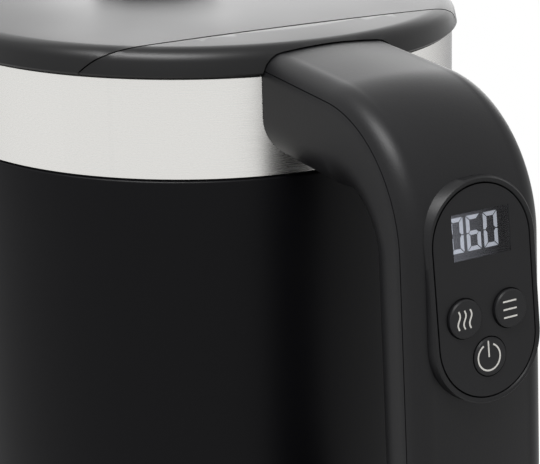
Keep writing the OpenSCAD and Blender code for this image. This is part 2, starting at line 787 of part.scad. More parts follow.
// Outline of a hinge arm: round the pin, down to a knee under the hinge cover's front face,
// and forward to the plug
arm_knee_a = 246;        // direction from the pin to the knee
arm_knee_d = 12;         // distance from the pin to the knee
arm_bar = 3.6;           // width of the arm
arm_eye_r = 2.8;         // radius of its eye round the pin
arm_toe = 15;            // length of the part that lies on the plug

module bar(p, q, w) {
    run = norm(q - p);
    translate(p) rotate(atan2(q[1] - p[1], q[0] - p[0])) translate([0, -w / 2]) square([run, w]);
    translate(q) circle(r = w / 2);
}

module lid_arms() {
    knee = [arm_knee_d * cos(arm_knee_a), arm_knee_d * sin(arm_knee_a)];
    seat = plug_z + plug_t - hinge_z;
    toe = [plug_back + 1 - hinge_x, seat + arm_bar / 2 + slip];
    color("#9fa1a5") for (y = [-arm_y - lid_arm_t, arm_y])
        translate([hinge_x, y + lid_arm_t, hinge_z]) rotate([90, 0, 0]) linear_extrude(lid_arm_t)
            difference() {
                union() {
                    circle(r = arm_eye_r);
                    bar([0, 0], knee, arm_bar);
                    bar(knee, toe, arm_bar);
                    translate([toe[0] - arm_toe, seat]) square([arm_toe, arm_bar + slip]);
                }
                circle(r = pin_r + fit);
            }
}

knob_stem = 10;          // the knob's stem is this much narrower than its head
knob_under = 2.5;        // height of the head's lower cone
knob_over = 1.5;         // height of its upper bevel
knob_bevel = 2;          // width of its upper bevel

module lid_knob() {
    seat = lid_z + lid_top(abs(knob_x), 0);
    head = seat + knob_h - knob_under - knob_over;
    color("#1b1b1d") difference() {
        translate([knob_x, 0, 0]) union() {
            translate([0, 0, lid_z + lid_shoulder - lid_wall])
                cylinder(r = knob_r - knob_stem, h = head - lid_z - lid_shoulder + lid_wall);
            translate([0, 0, head])
                cylinder(r1 = knob_r - knob_under, r2 = knob_r, h = knob_under, $fn = 120);
            translate([0, 0, head + knob_under])
                cylinder(r1 = knob_r, r2 = knob_r - knob_bevel, h = knob_over, $fn = 120);
        }
        lid_body(0);
        translate([knob_x, 0, lid_z])
            cylinder(r = screw_r + fit, h = seat + knob_h - knob_over - 1.5 - lid_z);
    }
}

module knob_screw() {
    color("silver") translate([knob_x, 0, lid_z + lid_top(abs(knob_x), lid_wall) - 0.4])
        screw(knob_h - 2);
}

module hinge_cover() {
    arm_slot = lid_arm_t + 1;
    post_z = shelf_z + 3;                    // foot of the posts, on the hinge block
    color("#2a2a2d") difference() {
        union() {
            difference() {
                intersection() {
                    lid_body(0);
                    behind_seam(seam_r);
                }
                intersection() {
                    lid_body(lid_wall);
                    behind_seam(seam_r - lid_wall);
                }
            }
            on_posts(post_z)
                cylinder(r = post_r, h = lid_z + lid_shoulder - lid_wall - 0.2 - post_z);
        }
        arm_prism(lid_r - 6.8, lid_r + 5, 0.5);
        for (side = [-1, 1])
            translate([seam_x - seam_r - 1, side * (arm_y + lid_arm_t / 2) - arm_slot / 2,
                       lid_z - 3])
                cube([seam_r - 5, arm_slot, 3 + lid_shoulder - 0.7]);
        on_posts(shelf_z) cylinder(r = screw_r + fit, h = 12);
        difference() {
            flange_space();
            on_posts(shelf_z) cylinder(r = post_r, h = big);
        }
    }
}

ear_t = 3;               // thickness of each ear of the hinge block
ear_r = 2.5;
ear_gap = 0.4;           // space between an ear and a hinge arm
block_t = 3;             // thickness of the block's foot

module hinge_block() {
    block_z = shelf_z + block_t;
    outer = arm_y + lid_arm_t + ear_t + ear_gap;
    color("#77797d") difference() {
        union() {
            intersection() {
                translate([post_x - 4, -outer, shelf_z])
                    cube([hinge_x - post_x + 8, 2 * outer, block_t]);
                translate([0, 0, shelf_z - 1]) cylinder(r = mouth_r - slip, h = block_t + 2,
                                                        $fn = 180);
            }
            for (side = [-1, 1], y = [arm_y - ear_t - ear_gap, arm_y + lid_arm_t + ear_gap])
                translate([hinge_x, side > 0 ? y : -y - ear_t, 0]) {
                    translate([-ear_r, 0, block_z - eps])
                        cube([2 * ear_r, ear_t, hinge_z - block_z]);
                    along_y(0, hinge_z, ear_r, 0, ear_t);
                }
        }
        along_y(hinge_x, hinge_z, pin_r + fit, -big / 2, big / 2);
        on_posts(shelf_z - 1) cylinder(r = screw_r + fit, h = block_t + 2);
        for (side = [-1, 1])
            translate([hinge_x - 8, side * (arm_y + lid_arm_t / 2) - lid_arm_t / 2 - ear_gap,
                       shelf_z + 1.2])
                cube([14, lid_arm_t + 2 * ear_gap, block_t + 1]);
    }
}

module hinge_pin() {
    half = arm_y + lid_arm_t + ear_gap + ear_t + 0.4;
    color("silver") along_y(hinge_x, hinge_z, pin_r, -half, half);
}

module hinge_screws() {
    color("silver") on_posts(shelf_z - shelf_t) screw(shelf_t + 11);
}

// ---------------------------------------------------------------- handle
bracket_w = handle_w - 13;                   // width of the bracket inside the upper arm
bracket_t = 4;
bracket_x = collar_foot_r + 0.6;             // its face towards the body
bracket_drop = [2.5, 18];                    // bracket's top and bottom below the lid's edge
arm_screw_z = [lid_z - 5.5, lid_z - 12];
path_last = handle_path[len(handle_path) - 1];
foot_x = shell_bottom_r + 11.8;              // the lower screw bosses end here
foot_boss_r = screw_r + 2.4;
foot_rib_x = foot_x - 8;                     // the rib between those bosses starts here
foot_mid = path_last[1] + (foot_rib_x - path_last[0]) * tan(path_last[2]) + foot_d / 2;
foot_screw_z = [foot_mid - 3.8, foot_mid + 3.8];

module handle_outer() {
    color("#1f1f21") difference() {
        handle_loft("outer");
        body_space(slip);
        on_panel(-bezel_d - 3) stadium(panel_w + 2 * (bezel_gap + bezel_w + fit),
                                       panel_l + 2 * (bezel_gap + bezel_w + fit), big);
    }
}

module handle_inner() {
    color("#161618") difference() {
        union() {
            difference() {
                handle_loft("inner");
                body_space(slip);
            }
            for (z = foot_screw_z) difference() {
                along_x(shell_r_at(z) - 3, 0, z, foot_boss_r, foot_x - shell_r_at(z) + 3);
                body_space(slip);
            }
            difference() {
                translate([foot_rib_x, -1, foot_mid]) rotate([0, -180 - path_last[2], 0])
                    translate([-3, 0, 0]) cube([10, 2, foot_d / 2 - 1]);
                body_space(slip);
            }
        }
        for (z = foot_screw_z) along_x(shell_top_r - 6, 0, z, screw_r + fit, foot_x - shell_top_r);
    }
}

module handle_bracket() {
    color("#8d8f93") difference() {
        translate([bracket_x - 4, -bracket_w / 2, lid_z - bracket_drop[1]])
            cube([bracket_t + 4, bracket_w, bracket_drop[1] - bracket_drop[0]]);
        body_space(slip);
        for (z = arm_screw_z) along_x(lid_r - 10, 0, z, screw_r + fit, 20);
    }
}

module handle_screws() {
    color("silver") {
        for (z = arm_screw_z) {
            along_x(mouth_r + 0.5, 0, z, screw_r, bracket_x + bracket_t - mouth_r - 0.5);
            along_x(bracket_x + bracket_t, 0, z, head_r, head_h);
        }
        for (z = foot_screw_z) {
            inside = shell_r_at(z) - shell_wall - 0.6;
            along_x(inside, 0, z, screw_r, foot_rib_x - shell_r_at(z));
            along_x(inside - head_h, 0, z, head_r, head_h);
        }
    }
}

// ---------------------------------------------------------------- panel
module panel_bezel() {
    w = panel_w + 2 * bezel_gap;
    l = panel_l + 2 * bezel_gap;
    pin_y = l / 2 - bezel_ledge - 0.6;
    pin_top = -insert_t - 0.6;
    color("#202022") on_panel() difference() {
        union() {
            translate([0, 0, -bezel_d])
                stadium(w + 2 * bezel_w, l + 2 * bezel_w, bezel_d + bezel_lip);
            for (side = [-1, 1]) translate([0, side * pin_y, board_out])
                cylinder(r = bezel_pin_r, h = pin_top - board_out);
        }
        translate([0, 0, -insert_t - fit]) stadium(w, l, bezel_d);
        difference() {
            translate([0, 0, -bezel_d - eps])
                stadium(w - 2 * bezel_ledge, l - 2 * bezel_ledge, bezel_d + 1);
            for (side = [-1, 1]) translate([0, side * pin_y, board_out])
                cylinder(r = bezel_pin_r, h = pin_top - board_out);
        }
    }
}

module panel_insert() {
    color("#262629") on_panel(-insert_t) difference() {
        stadium(panel_w, panel_l, insert_t);
        translate([-window_w / 2, window_up - window_h / 2, -eps])
            cube([window_w, window_h, insert_t + 2 * eps]);
        for (spot = button_spots) translate([spot[0], spot[1], -eps])
            cylinder(r = button_d / 2 + button_gap, h = insert_t + 2 * eps, $fn = 64);
    }
}

lens_t = 0.8;            // thickness of the lens's flange under the insert
lens_over = 0.5;         // width of that flange
near = 0.1;              // space between pieces of the panel that nearly touch

// Block with the window's outline, grown by gap
module window_block(gap, h) {
    translate([-window_w / 2 - gap, window_up - window_h / 2 - gap, 0])
        cube([window_w + 2 * gap, window_h + 2 * gap, h]);
}

module display_window() {
    color("#55575d") on_panel(-insert_t - lens_t) union() {
        window_block(lens_over, lens_t);
        translate([0, 0, lens_t - eps]) window_block(-fit, insert_t - near);
    }
}

module display_module() {
    color("#141416") on_panel(board_out)
        window_block(lens_over, -board_out - insert_t - lens_t - near);
}

module control_board() {
    color("#1d5b34") on_panel(board_out - board_t) stadium(board_w, board_l, board_t);
}

flange_t = 0.8;          // thickness of a button's flange
flange_over = 0.8;       // width of that flange
stem_r = 1.5;
stem_l = 2.6;
stem_end = -insert_t - flange_t - stem_l;    // underside of a button's stem
cap_bevel = 0.3;
switch_w = 6;

module button_switches() {
    color("#303034") on_panel(board_out) for (spot = button_spots)
        translate([spot[0] - switch_w / 2, spot[1] - switch_w / 2, 0])
            cube([switch_w, switch_w, stem_end - button_travel - near - board_out]);
}

// A round cap with a flange under the insert and a stem over its switch
module button(spot, proud) {
    under = -insert_t - near;
    r = button_d / 2;
    on_panel() translate([spot[0], spot[1], 0]) {
        translate([0, 0, under]) cylinder(r = r, h = proud - cap_bevel - under, $fn = 64);
        translate([0, 0, proud - cap_bevel])
            cylinder(r1 = r, r2 = r - cap_bevel, h = cap_bevel, $fn = 64);
        translate([0, 0, under - flange_t]) cylinder(r = r + flange_over, h = flange_t);
        translate([0, 0, stem_end]) cylinder(r = stem_r, h = under - flange_t + near - stem_end);
    }
}

module menu_button() { color("#2c2c2f") button(button_spots[0], 1); }

module heat_button() { color("#2c2c2f") button(button_spots[1], 1); }

module power_button() { color("#2c2c2f") button(button_spots[2], 0.5); }

// ---------------------------------------------------------------- power base
plate_z = 2.3;           // underside of the base plate
plate_t = 2.2;
base_round = 3;          // radius of the base's upper edge
pivot_r = 6;             // pivot of the connector tower
pivot_socket_h = 7;      // height of the socket round it
base_screw_d = base_r - 24;
base_foot_d = base_r - 18;
base_foot_r = 6;
base_head_h = 1;         // height of the base screws' flat heads
base_boss_r = 3.6;
gland_r = 5;             // cord gland in the base's wall
gland_z = 10;
gland_bore = 2.8;
gland_lip = 1.6;

// Children at each of the base's three screws, at level z
module on_base_screws(z) {
    for (a = [0 : 120 : 240]) rotate(a) translate([base_screw_d, 0, z]) children();
}

module base_housing() {
    color("#1c1c1e") difference() {
        union() {
            rotate_extrude($fn = 180) difference() {
                union() {
                    translate([0, plate_z]) square([base_r, base_h - plate_z - base_round]);
                    translate([0, base_h - base_round - eps])
                        square([base_r - base_round, base_round + eps]);
                    translate([base_r - base_round, base_h - base_round]) circle(r = base_round);
                }
                translate([0, plate_z - eps])
                    square([base_r - base_wall, base_h - base_wall - base_round - plate_z + 2]);
                translate([0, base_h - base_wall - base_round])
                    square([base_r - base_wall - base_round, base_round]);
            }
            on_base_screws(plate_z + plate_t)
                cylinder(r = base_boss_r, h = base_h - base_wall - plate_z - plate_t + eps);
        }
        translate([0, 0, base_h - base_wall - 1]) cylinder(r = tower_r + fit, h = base_wall + 2);
        on_base_screws(plate_z) cylinder(r = screw_r + fit, h = 12);
        along_y(0, gland_z, gland_r + fit, base_r - 8, base_r + 8);
    }
}

module base_plate() {
    color("#262628") difference() {
        union() {
            translate([0, 0, plate_z]) cylinder(r = base_r - base_wall - 0.2, h = plate_t,
                                                $fn = 180);
            translate([0, 0, plate_z]) cylinder(r = pivot_r + 3, h = pivot_socket_h);
        }
        translate([0, 0, plate_z + plate_t]) cylinder(r = pivot_r + fit, h = pivot_socket_h);
        on_base_screws(plate_z - eps) {
            cylinder(r = screw_r + fit, h = plate_t + 1);
            cylinder(r = head_seat_r, h = base_head_h + 0.2);
        }
    }
}

module base_feet() {
    color("#0f0f10") {
        for (a = [45 : 90 : 315]) rotate(a) translate([base_foot_d, 0, 0])
            cylinder(r = base_foot_r, h = plate_z);
        cylinder(r = base_foot_r, h = plate_z);
    }
}

module base_screws() {
    color("silver") on_base_screws(plate_z + base_head_h + 0.1) screw(9, base_head_h);
}

module cord_gland() {
    inner = base_r - base_wall - 2;
    color("#0f0f10") difference() {
        union() {
            along_y(0, gland_z, gland_r, inner, base_r + 1.2);
            along_y(0, gland_z, gland_r + gland_lip, base_r + 0.1, base_r + 1.8);
        }
        along_y(0, gland_z, gland_bore, inner - 1, base_r + 4);
    }
}

tower_bevel = 2;         // bevel at the tower's top
tower_collar_t = 2;      // collar that keeps the tower in the base
tower_collar_w = 3;

module connector_tower() {
    foot_z = plate_z + plate_t;
    body_from = plate_z + pivot_socket_h + slip;
    bevel_z = base_h + tower_h - tower_bevel;
    color("#2b2b2f") union() {
        translate([0, 0, foot_z]) cylinder(r = pivot_r, h = body_from - foot_z + 0.3);
        translate([0, 0, body_from]) cylinder(r = tower_r, h = bevel_z - body_from);
        translate([0, 0, bevel_z])
            cylinder(r1 = tower_r, r2 = tower_r - tower_bevel, h = tower_bevel);
        translate([0, 0, base_h - base_wall - slip - tower_collar_t])
            cylinder(r = tower_r + tower_collar_w, h = tower_collar_t);
    }
}

module tower_contacts() {
    color("#c9a24b") for (level = contact_levels) translate([0, 0, body_z + level])
        ring(tower_r + 0.35, tower_r, contact_h);
}

vessel();
steel_collar();
body_shell();
bottom_cover();
kettle_feet();
bottom_screws();
heat_plate();
heating_element();
element_terminals();
control_socket();
socket_contacts();
temperature_sensor();
spout();
spout_flange();
spout_seal();
strainer();
top_ring();
lid_cap();
lid_plug();
lid_seal();
lid_arms();
lid_knob();
knob_screw();
hinge_cover();
hinge_block();
hinge_pin();
hinge_screws();
handle_outer();
handle_inner();
handle_bracket();
handle_screws();
panel_bezel();
panel_insert();
display_window();
display_module();
control_board();
button_switches();
menu_button();
heat_button();
power_button();
base_housing();
base_plate();
base_feet();
base_screws();
cord_gland();
connector_tower();
tower_contacts();
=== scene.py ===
"""Looks of an electric gooseneck kettle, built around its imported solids.
Lengths are worked out in millimetres and turned to metres as each mesh is made."""

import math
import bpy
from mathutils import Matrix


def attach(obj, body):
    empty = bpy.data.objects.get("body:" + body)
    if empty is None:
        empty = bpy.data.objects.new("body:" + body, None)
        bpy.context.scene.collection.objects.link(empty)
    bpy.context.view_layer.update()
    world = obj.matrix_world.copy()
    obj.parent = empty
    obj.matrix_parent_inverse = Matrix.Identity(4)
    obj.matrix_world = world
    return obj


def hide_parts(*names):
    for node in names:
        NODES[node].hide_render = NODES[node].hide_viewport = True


bl_info = {
    "name": "Gooseneck kettle",
    "version": (1, 0, 0),
    "blender": (4, 5, 0),
    "location": "3D View > Sidebar > Kettle",
    "description": "Builds the pieces and finishes of an electric gooseneck kettle",
    "category": "Add Mesh",
}

import bmesh
import bpy
import numpy as np
from mathutils import Matrix

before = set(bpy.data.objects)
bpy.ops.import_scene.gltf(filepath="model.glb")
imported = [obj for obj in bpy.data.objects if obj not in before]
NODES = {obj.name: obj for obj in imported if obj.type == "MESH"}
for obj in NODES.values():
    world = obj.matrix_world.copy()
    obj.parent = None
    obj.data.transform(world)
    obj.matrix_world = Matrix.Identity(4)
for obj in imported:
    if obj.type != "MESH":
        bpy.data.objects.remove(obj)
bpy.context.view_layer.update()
MM = 0.001

LID_Z = 200.0                        # height of the lid's lower edge
PANEL_X, PANEL_DROP = 137.2, 39.2    # middle of the control panel, and how far under LID_Z it is
PANEL_TILT = 9.5                     # how far the panel leans back, in degrees


# ---------------------------------------------------------------- properties
class KETTLE_PG_sizes(bpy.types.PropertyGroup):
    """Sizes of the handle and the display"""
    handle_width: bpy.props.FloatProperty(
        name="Handle width", description="Width of the grip in millimetres", default=39.0,
        min=30.0, max=50.0)
    handle_round: bpy.props.FloatProperty(
        name="Outer edge", description="Radius of the grip's outer edges in millimetres",
        default=6.0, min=2.0, max=8.0)
    grip_round: bpy.props.FloatProperty(
        name="Inner edge", description="Radius of the grip's inner edges in millimetres",
        default=11.0, min=4.0, max=12.0)
    digit_height: bpy.props.FloatProperty(
        name="Digit height", description="Height of a display digit in millimetres",
        default=8.1, min=4.0, max=9.0)


class KETTLE_PG_colours(bpy.types.PropertyGroup):
    """Colours of the handle, the shell, the steel and the digits"""
    # The handle's two colours are painted light: the darker one is painted shade in the grain's
    # hollows, the lighter one a painted highlight on its tops.
    handle_grain_shade: bpy.props.StringProperty(
        name="Handle, dark", description="sRGB hex colour in the hollows of the handle's grain",
        default="0C0C0D")
    handle_grain_highlight: bpy.props.StringProperty(
        name="Handle, light", description="sRGB hex colour on the tops of the handle's grain",
        default="141416")
    shell: bpy.props.StringProperty(
        name="Shell", description="sRGB hex colour of the body shell", default="070709")
    steel: bpy.props.StringProperty(
        name="Steel", description="sRGB hex colour of the stainless steel", default="DEDDDA")
    digits: bpy.props.StringProperty(
        name="Digits", description="sRGB hex colour of the lit digits", default="DCE2EE")


# ---------------------------------------------------------------- meshes
def mesh_from(name, points, quads):
    """One object from an (n, 3) array of points in millimetres and an (m, 4) array of quads.
    Doubles are merged, so that poles and seams close, and faces are turned outwards."""
    mesh = bpy.data.meshes.new(name)
    mesh.vertices.add(len(points))
    mesh.vertices.foreach_set("co", (np.asarray(points, float) * MM).astype(np.float32).ravel())
    mesh.loops.add(quads.size)
    mesh.loops.foreach_set("vertex_index", quads.astype(np.int32).ravel())
    mesh.polygons.add(len(quads))
    mesh.polygons.foreach_set("loop_start", np.arange(0, quads.size, 4, dtype=np.int32))
    mesh.update(calc_edges=True)
    mesh.validate()
    obj = bpy.data.objects.new(name, mesh)
    bpy.context.scene.collection.objects.link(obj)
    clean(obj)
    return obj


def clean(obj, sharp_deg=32.0, merge_mm=0.002, outward=True):
    """Merges doubles, drops collapsed faces, turns faces outwards if asked, and marks edges above
    an angle as sharp."""
    bm = bmesh.new()
    bm.from_mesh(obj.data)
    bmesh.ops.remove_doubles(bm, verts=bm.verts, dist=merge_mm * MM)
    bmesh.ops.dissolve_degenerate(bm, edges=bm.edges, dist=merge_mm * MM * 0.5)
    if outward:
        bmesh.ops.recalc_face_normals(bm, faces=bm.faces)
    limit = math.radians(sharp_deg)
    for edge in bm.edges:
        edge.smooth = edge.is_manifold and edge.calc_face_angle(0.0) < limit
    for face in bm.faces:
        face.smooth = True
    bm.to_mesh(obj.data)
    bm.free()
    obj.data.update()
    return obj


def grid_quads(rows, cols, close_rows=False, close_cols=False, start=0):
    """Quads of a rows by cols grid of points, wrapped round in either direction if asked: each
    joins a point to the next in its row and to the same two in the next row."""
    i = np.arange(rows if close_rows else rows - 1)[:, None]
    j = np.arange(cols if close_cols else cols - 1)[None, :]
    a, b = i * cols, (i + 1) % rows * cols
    c, d = j, (j + 1) % cols
    quads = np.stack([a + c, a + d, b + d, b + c], axis=-1)
    return quads.reshape(-1, 4) + start


def surface(name, grids, close_rows=False, close_cols=True):
    """One object from several (rows, cols, 3) grids of points, each laid with quads."""
    points, quads, start = [], [], 0
    for grid in grids:
        rows, cols = grid.shape[:2]
        points.append(grid.reshape(-1, 3))
        quads.append(grid_quads(rows, cols, close_rows, close_cols, start))
        start += rows * cols
    return mesh_from(name, np.concatenate(points), np.concatenate(quads))


def raised(points, height):
    """Flat (n, 2) points as (n, 3) points at one height, or at a height for each."""
    return np.concatenate([points, (np.zeros(len(points)) + height)[:, None]], axis=1)


def plate(outline, low, high):
    """A flat plate's grid from an outline of (across, up) points: rows at its middle, along the
    outline at both heights, and at its middle again, so that both faces close."""
    outline = np.asarray(outline, float)
    centre = np.zeros_like(outline) + outline.mean(0)
    return np.stack([raised(centre, low), raised(outline, low), raised(outline, high),
                     raised(centre, high)])


def ribbon(points, width, low, high):
    """A flat strip's grid along (across, up) points: four corners at each point, half the width
    to either side of the line's direction, and both ends drawn together at their middle."""
    p = np.asarray(points, float)
    d = np.gradient(p, axis=0)
    d /= np.linalg.norm(d, axis=1)[:, None]
    side = np.stack([-d[:, 1], d[:, 0]], axis=1) * width / 2
    a, b = p + side, p - side
    ring = np.stack([raised(a, low), raised(b, low), raised(b, high), raised(a, high)], axis=1)
    start, end = (np.repeat(row.mean(1, keepdims=True), 4, axis=1) for row in (ring[:1], ring[-1:]))
    return np.concatenate([start, ring, end])


def dressed(obj, body, finish, replaces=()):
    """Gives a piece its finish, body, slot and the nodes that it stands for."""
    obj.data.materials.clear()
    obj.data.materials.append(MATERIALS[finish])
    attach(obj, body)
    if replaces:
        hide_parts(*replaces)
    return obj


def smooth_copy(node, name, body, finish, sharp_deg=32.0):
    """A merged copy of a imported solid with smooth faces, standing for it."""
    obj = bpy.data.objects.new(name, NODES[node].data.copy())
    bpy.context.scene.collection.objects.link(obj)
    clean(obj, sharp_deg=sharp_deg, merge_mm=0.004, outward=False)
    return dressed(obj, body, finish, (node,))


def refinish(finishes):
    """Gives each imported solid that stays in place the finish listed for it."""
    for node, finish in finishes.items():
        mesh = NODES[node].data
        mesh.materials.clear()
        mesh.materials.append(MATERIALS[finish])


# ---------------------------------------------------------------- materials
MATERIALS = {}
PLASTIC_IOR, ACRYLIC_IOR = 1.5, 1.49


def linear(hex_code):
    """An sRGB hex colour as linear RGBA: a straight share near black, a power of 2.4 above it."""
    parts = [int(hex_code[i:i + 2], 16) / 255.0 for i in (0, 2, 4)]
    return [p / 12.92 if p <= 0.04045 else ((p + 0.055) / 1.055) ** 2.4 for p in parts] + [1.0]


def add(tree, kind, settings=None, links=None):
    """Adds a node, sets its sockets or properties, and links sources into its sockets."""
    node = tree.nodes.new(kind)
    for key, value in (settings or {}).items():
        if isinstance(key, int) or key in node.inputs:
            node.inputs[key].default_value = value
        else:
            setattr(node, key, value)
    for key, source in (links or {}).items():
        tree.links.new(source, node.inputs[key])
    return node


def new_material(name):
    """A material with an empty node tree, and that tree."""
    material = bpy.data.materials.new(name)
    material.use_nodes = True
    tree = material.node_tree
    tree.nodes.clear()
    return material, tree


def object_points(tree, scale_mm):
    """Object coordinates scaled so that one unit of a pattern is scale_mm long: one length, or
    three for x, y and z."""
    coords = add(tree, "ShaderNodeTexCoord")
    scale = (1.0 / ((np.zeros(3) + scale_mm) * MM)).tolist()
    mapping = add(tree, "ShaderNodeMapping", {"Scale": scale}, {"Vector": coords.outputs["Object"]})
    return mapping.outputs["Vector"]


def grained_plastic(name, dark, light, rough, grain_mm, depth_mm, specular):
    """Moulded plastic with a spark-eroded grain: a fine pebbled relief that spreads the light
    and sparkles a little, over a nearly even colour with painted light in it: painted shade, a
    darker colour, in the hollows of the grain, and a painted highlight, a lighter colour, on its
    tops."""
    broad_mm, swing = 30.0, 0.03
    material, tree = new_material(name)
    grain = add(tree, "ShaderNodeTexNoise", {"Scale": 1.0, "Detail": 2.0, "Roughness": 0.6},
                {"Vector": object_points(tree, grain_mm)})
    broad = add(tree, "ShaderNodeTexNoise", {"Scale": 1.0, "Detail": 1.0},
                {"Vector": object_points(tree, broad_mm)})
    bump = add(tree, "ShaderNodeBump", {"Strength": 1.0, "Distance": depth_mm * MM},
               {"Height": grain.outputs["Fac"]})
    # Painted shade and highlight: the colour follows the grain's height, dark in its hollows and
    # light on its tops.
    colour = add(tree, "ShaderNodeMix", {"data_type": "RGBA", 6: linear(dark), 7: linear(light)},
                 {0: grain.outputs["Fac"]})
    roughness = add(tree, "ShaderNodeMapRange", {"To Min": rough - swing, "To Max": rough + swing},
                    {"Value": broad.outputs["Fac"]})
    shader = add(tree, "ShaderNodeBsdfPrincipled",
                 {"IOR": PLASTIC_IOR, "Specular IOR Level": specular},
                 {"Base Color": colour.outputs[2], "Roughness": roughness.outputs["Result"],
                  "Normal": bump.outputs["Normal"]})
    add(tree, "ShaderNodeOutputMaterial", None, {"Surface": shader.outputs["BSDF"]})
    return material


def satin_plastic(name, colour, rough, specular=0.5):
    """Smooth moulded plastic or rubber with a low sheen and a faint waviness."""
    wave_mm, fine_mm, depth_mm, swing = 9.0, 0.4, 0.004, 0.02
    material, tree = new_material(name)
    wave = add(tree, "ShaderNodeTexNoise", {"Scale": 1.0, "Detail": 1.0},
               {"Vector": object_points(tree, wave_mm)})
    fine = add(tree, "ShaderNodeTexNoise", {"Scale": 1.0, "Detail": 2.0},
               {"Vector": object_points(tree, fine_mm)})
    bump = add(tree, "ShaderNodeBump", {"Strength": 1.0, "Distance": depth_mm * MM},
               {"Height": fine.outputs["Fac"]})
    roughness = add(tree, "ShaderNodeMapRange", {"To Min": rough - swing, "To Max": rough + swing},
                    {"Value": wave.outputs["Fac"]})
    shader = add(tree, "ShaderNodeBsdfPrincipled",
                 {"Base Color": linear(colour), "IOR": PLASTIC_IOR, "Specular IOR Level": specular},
                 {"Roughness": roughness.outputs["Result"], "Normal": bump.outputs["Normal"]})
    add(tree, "ShaderNodeOutputMaterial", None, {"Surface": shader.outputs["BSDF"]})
    return material


def brushed_steel(name, colour, rough, stretch_mm):
    """Stainless steel drawn with a fine abrasive, so that hairlines run round the piece: noise
    stretched along them, as a slight relief and as a change of sheen."""
    depth_mm, swing, edge_tint = 0.0012, 0.05, "B4B4B6"
    material, tree = new_material(name)
    lines = add(tree, "ShaderNodeTexNoise", {"Scale": 1.0, "Detail": 3.0, "Roughness": 0.6},
                {"Vector": object_points(tree, stretch_mm)})
    bump = add(tree, "ShaderNodeBump", {"Strength": 1.0, "Distance": depth_mm * MM},
               {"Height": lines.outputs["Fac"]})
    roughness = add(tree, "ShaderNodeMapRange", {"To Min": rough - swing, "To Max": rough + swing},
                    {"Value": lines.outputs["Fac"]})
    shader = add(tree, "ShaderNodeBsdfPrincipled",
                 {"Base Color": linear(colour), "Metallic": 1.0,
                  "Specular Tint": linear(edge_tint)},
                 {"Roughness": roughness.outputs["Result"], "Normal": bump.outputs["Normal"]})
    add(tree, "ShaderNodeOutputMaterial", None, {"Surface": shader.outputs["BSDF"]})
    return material


def plain_metal(name, colour, rough, speck_mm=0.8):
    """Cast, stamped or plated metal with a slightly uneven lustre."""
    depth_mm, swing = 0.01, 0.06
    material, tree = new_material(name)
    speck = add(tree, "ShaderNodeTexNoise", {"Scale": 1.0, "Detail": 2.0},
                {"Vector": object_points(tree, speck_mm)})
    bump = add(tree, "ShaderNodeBump", {"Strength": 1.0, "Distance": depth_mm * MM},
               {"Height": speck.outputs["Fac"]})
    roughness = add(tree, "ShaderNodeMapRange", {"To Min": rough - swing, "To Max": rough + swing},
                    {"Value": speck.outputs["Fac"]})
    shader = add(tree, "ShaderNodeBsdfPrincipled", {"Base Color": linear(colour), "Metallic": 1.0},
                 {"Roughness": roughness.outputs["Result"], "Normal": bump.outputs["Normal"]})
    add(tree, "ShaderNodeOutputMaterial", None, {"Surface": shader.outputs["BSDF"]})
    return material


def smoked_lens(name, pale, dark, alpha):
    """Clear tinted acrylic, seen through to the display, with painted light: its colour is paler on
    the side towards -Y, where light gets in behind it, and darker towards +Y. It has a faint haze."""
    lit_side_y, unlit_side_y, haze_mm = -8.0, 5.0, 6.0
    material, tree = new_material(name)
    coords = add(tree, "ShaderNodeTexCoord")
    split = add(tree, "ShaderNodeSeparateXYZ", None, {0: coords.outputs["Object"]})
    # Painted light: the lens's colour runs from pale at 8 mm towards -Y to dark at 5 mm towards +Y.
    across = add(tree, "ShaderNodeMapRange", {"From Min": lit_side_y * MM, "From Max": unlit_side_y * MM},
                 {"Value": split.outputs["Y"]})
    colour = add(tree, "ShaderNodeMix", {"data_type": "RGBA", 6: linear(pale), 7: linear(dark)},
                 {0: across.outputs["Result"]})
    haze = add(tree, "ShaderNodeTexNoise", {"Scale": 1.0, "Detail": 1.0},
               {"Vector": object_points(tree, haze_mm)})
    roughness = add(tree, "ShaderNodeMapRange", {"To Min": 0.16, "To Max": 0.24},
                    {"Value": haze.outputs["Fac"]})
    shader = add(tree, "ShaderNodeBsdfPrincipled",
                 {"IOR": ACRYLIC_IOR, "Specular IOR Level": 0.25, "Alpha": alpha},
                 {"Base Color": colour.outputs[2], "Roughness": roughness.outputs["Result"]})
    add(tree, "ShaderNodeOutputMaterial", None, {"Surface": shader.outputs["BSDF"]})
    return material


def lit_marks(name, colour, strength):
    """Thin marks of one even colour: a light guide that glows, or dull ink at strength 0."""
    material, tree = new_material(name)
    shader = add(tree, "ShaderNodeBsdfPrincipled",
                 {"Roughness": 0.5, "Emission Strength": strength, "Base Color": linear(colour),
                  "Emission Color": linear(colour)})
    add(tree, "ShaderNodeOutputMaterial", None, {"Surface": shader.outputs["BSDF"]})
    return material


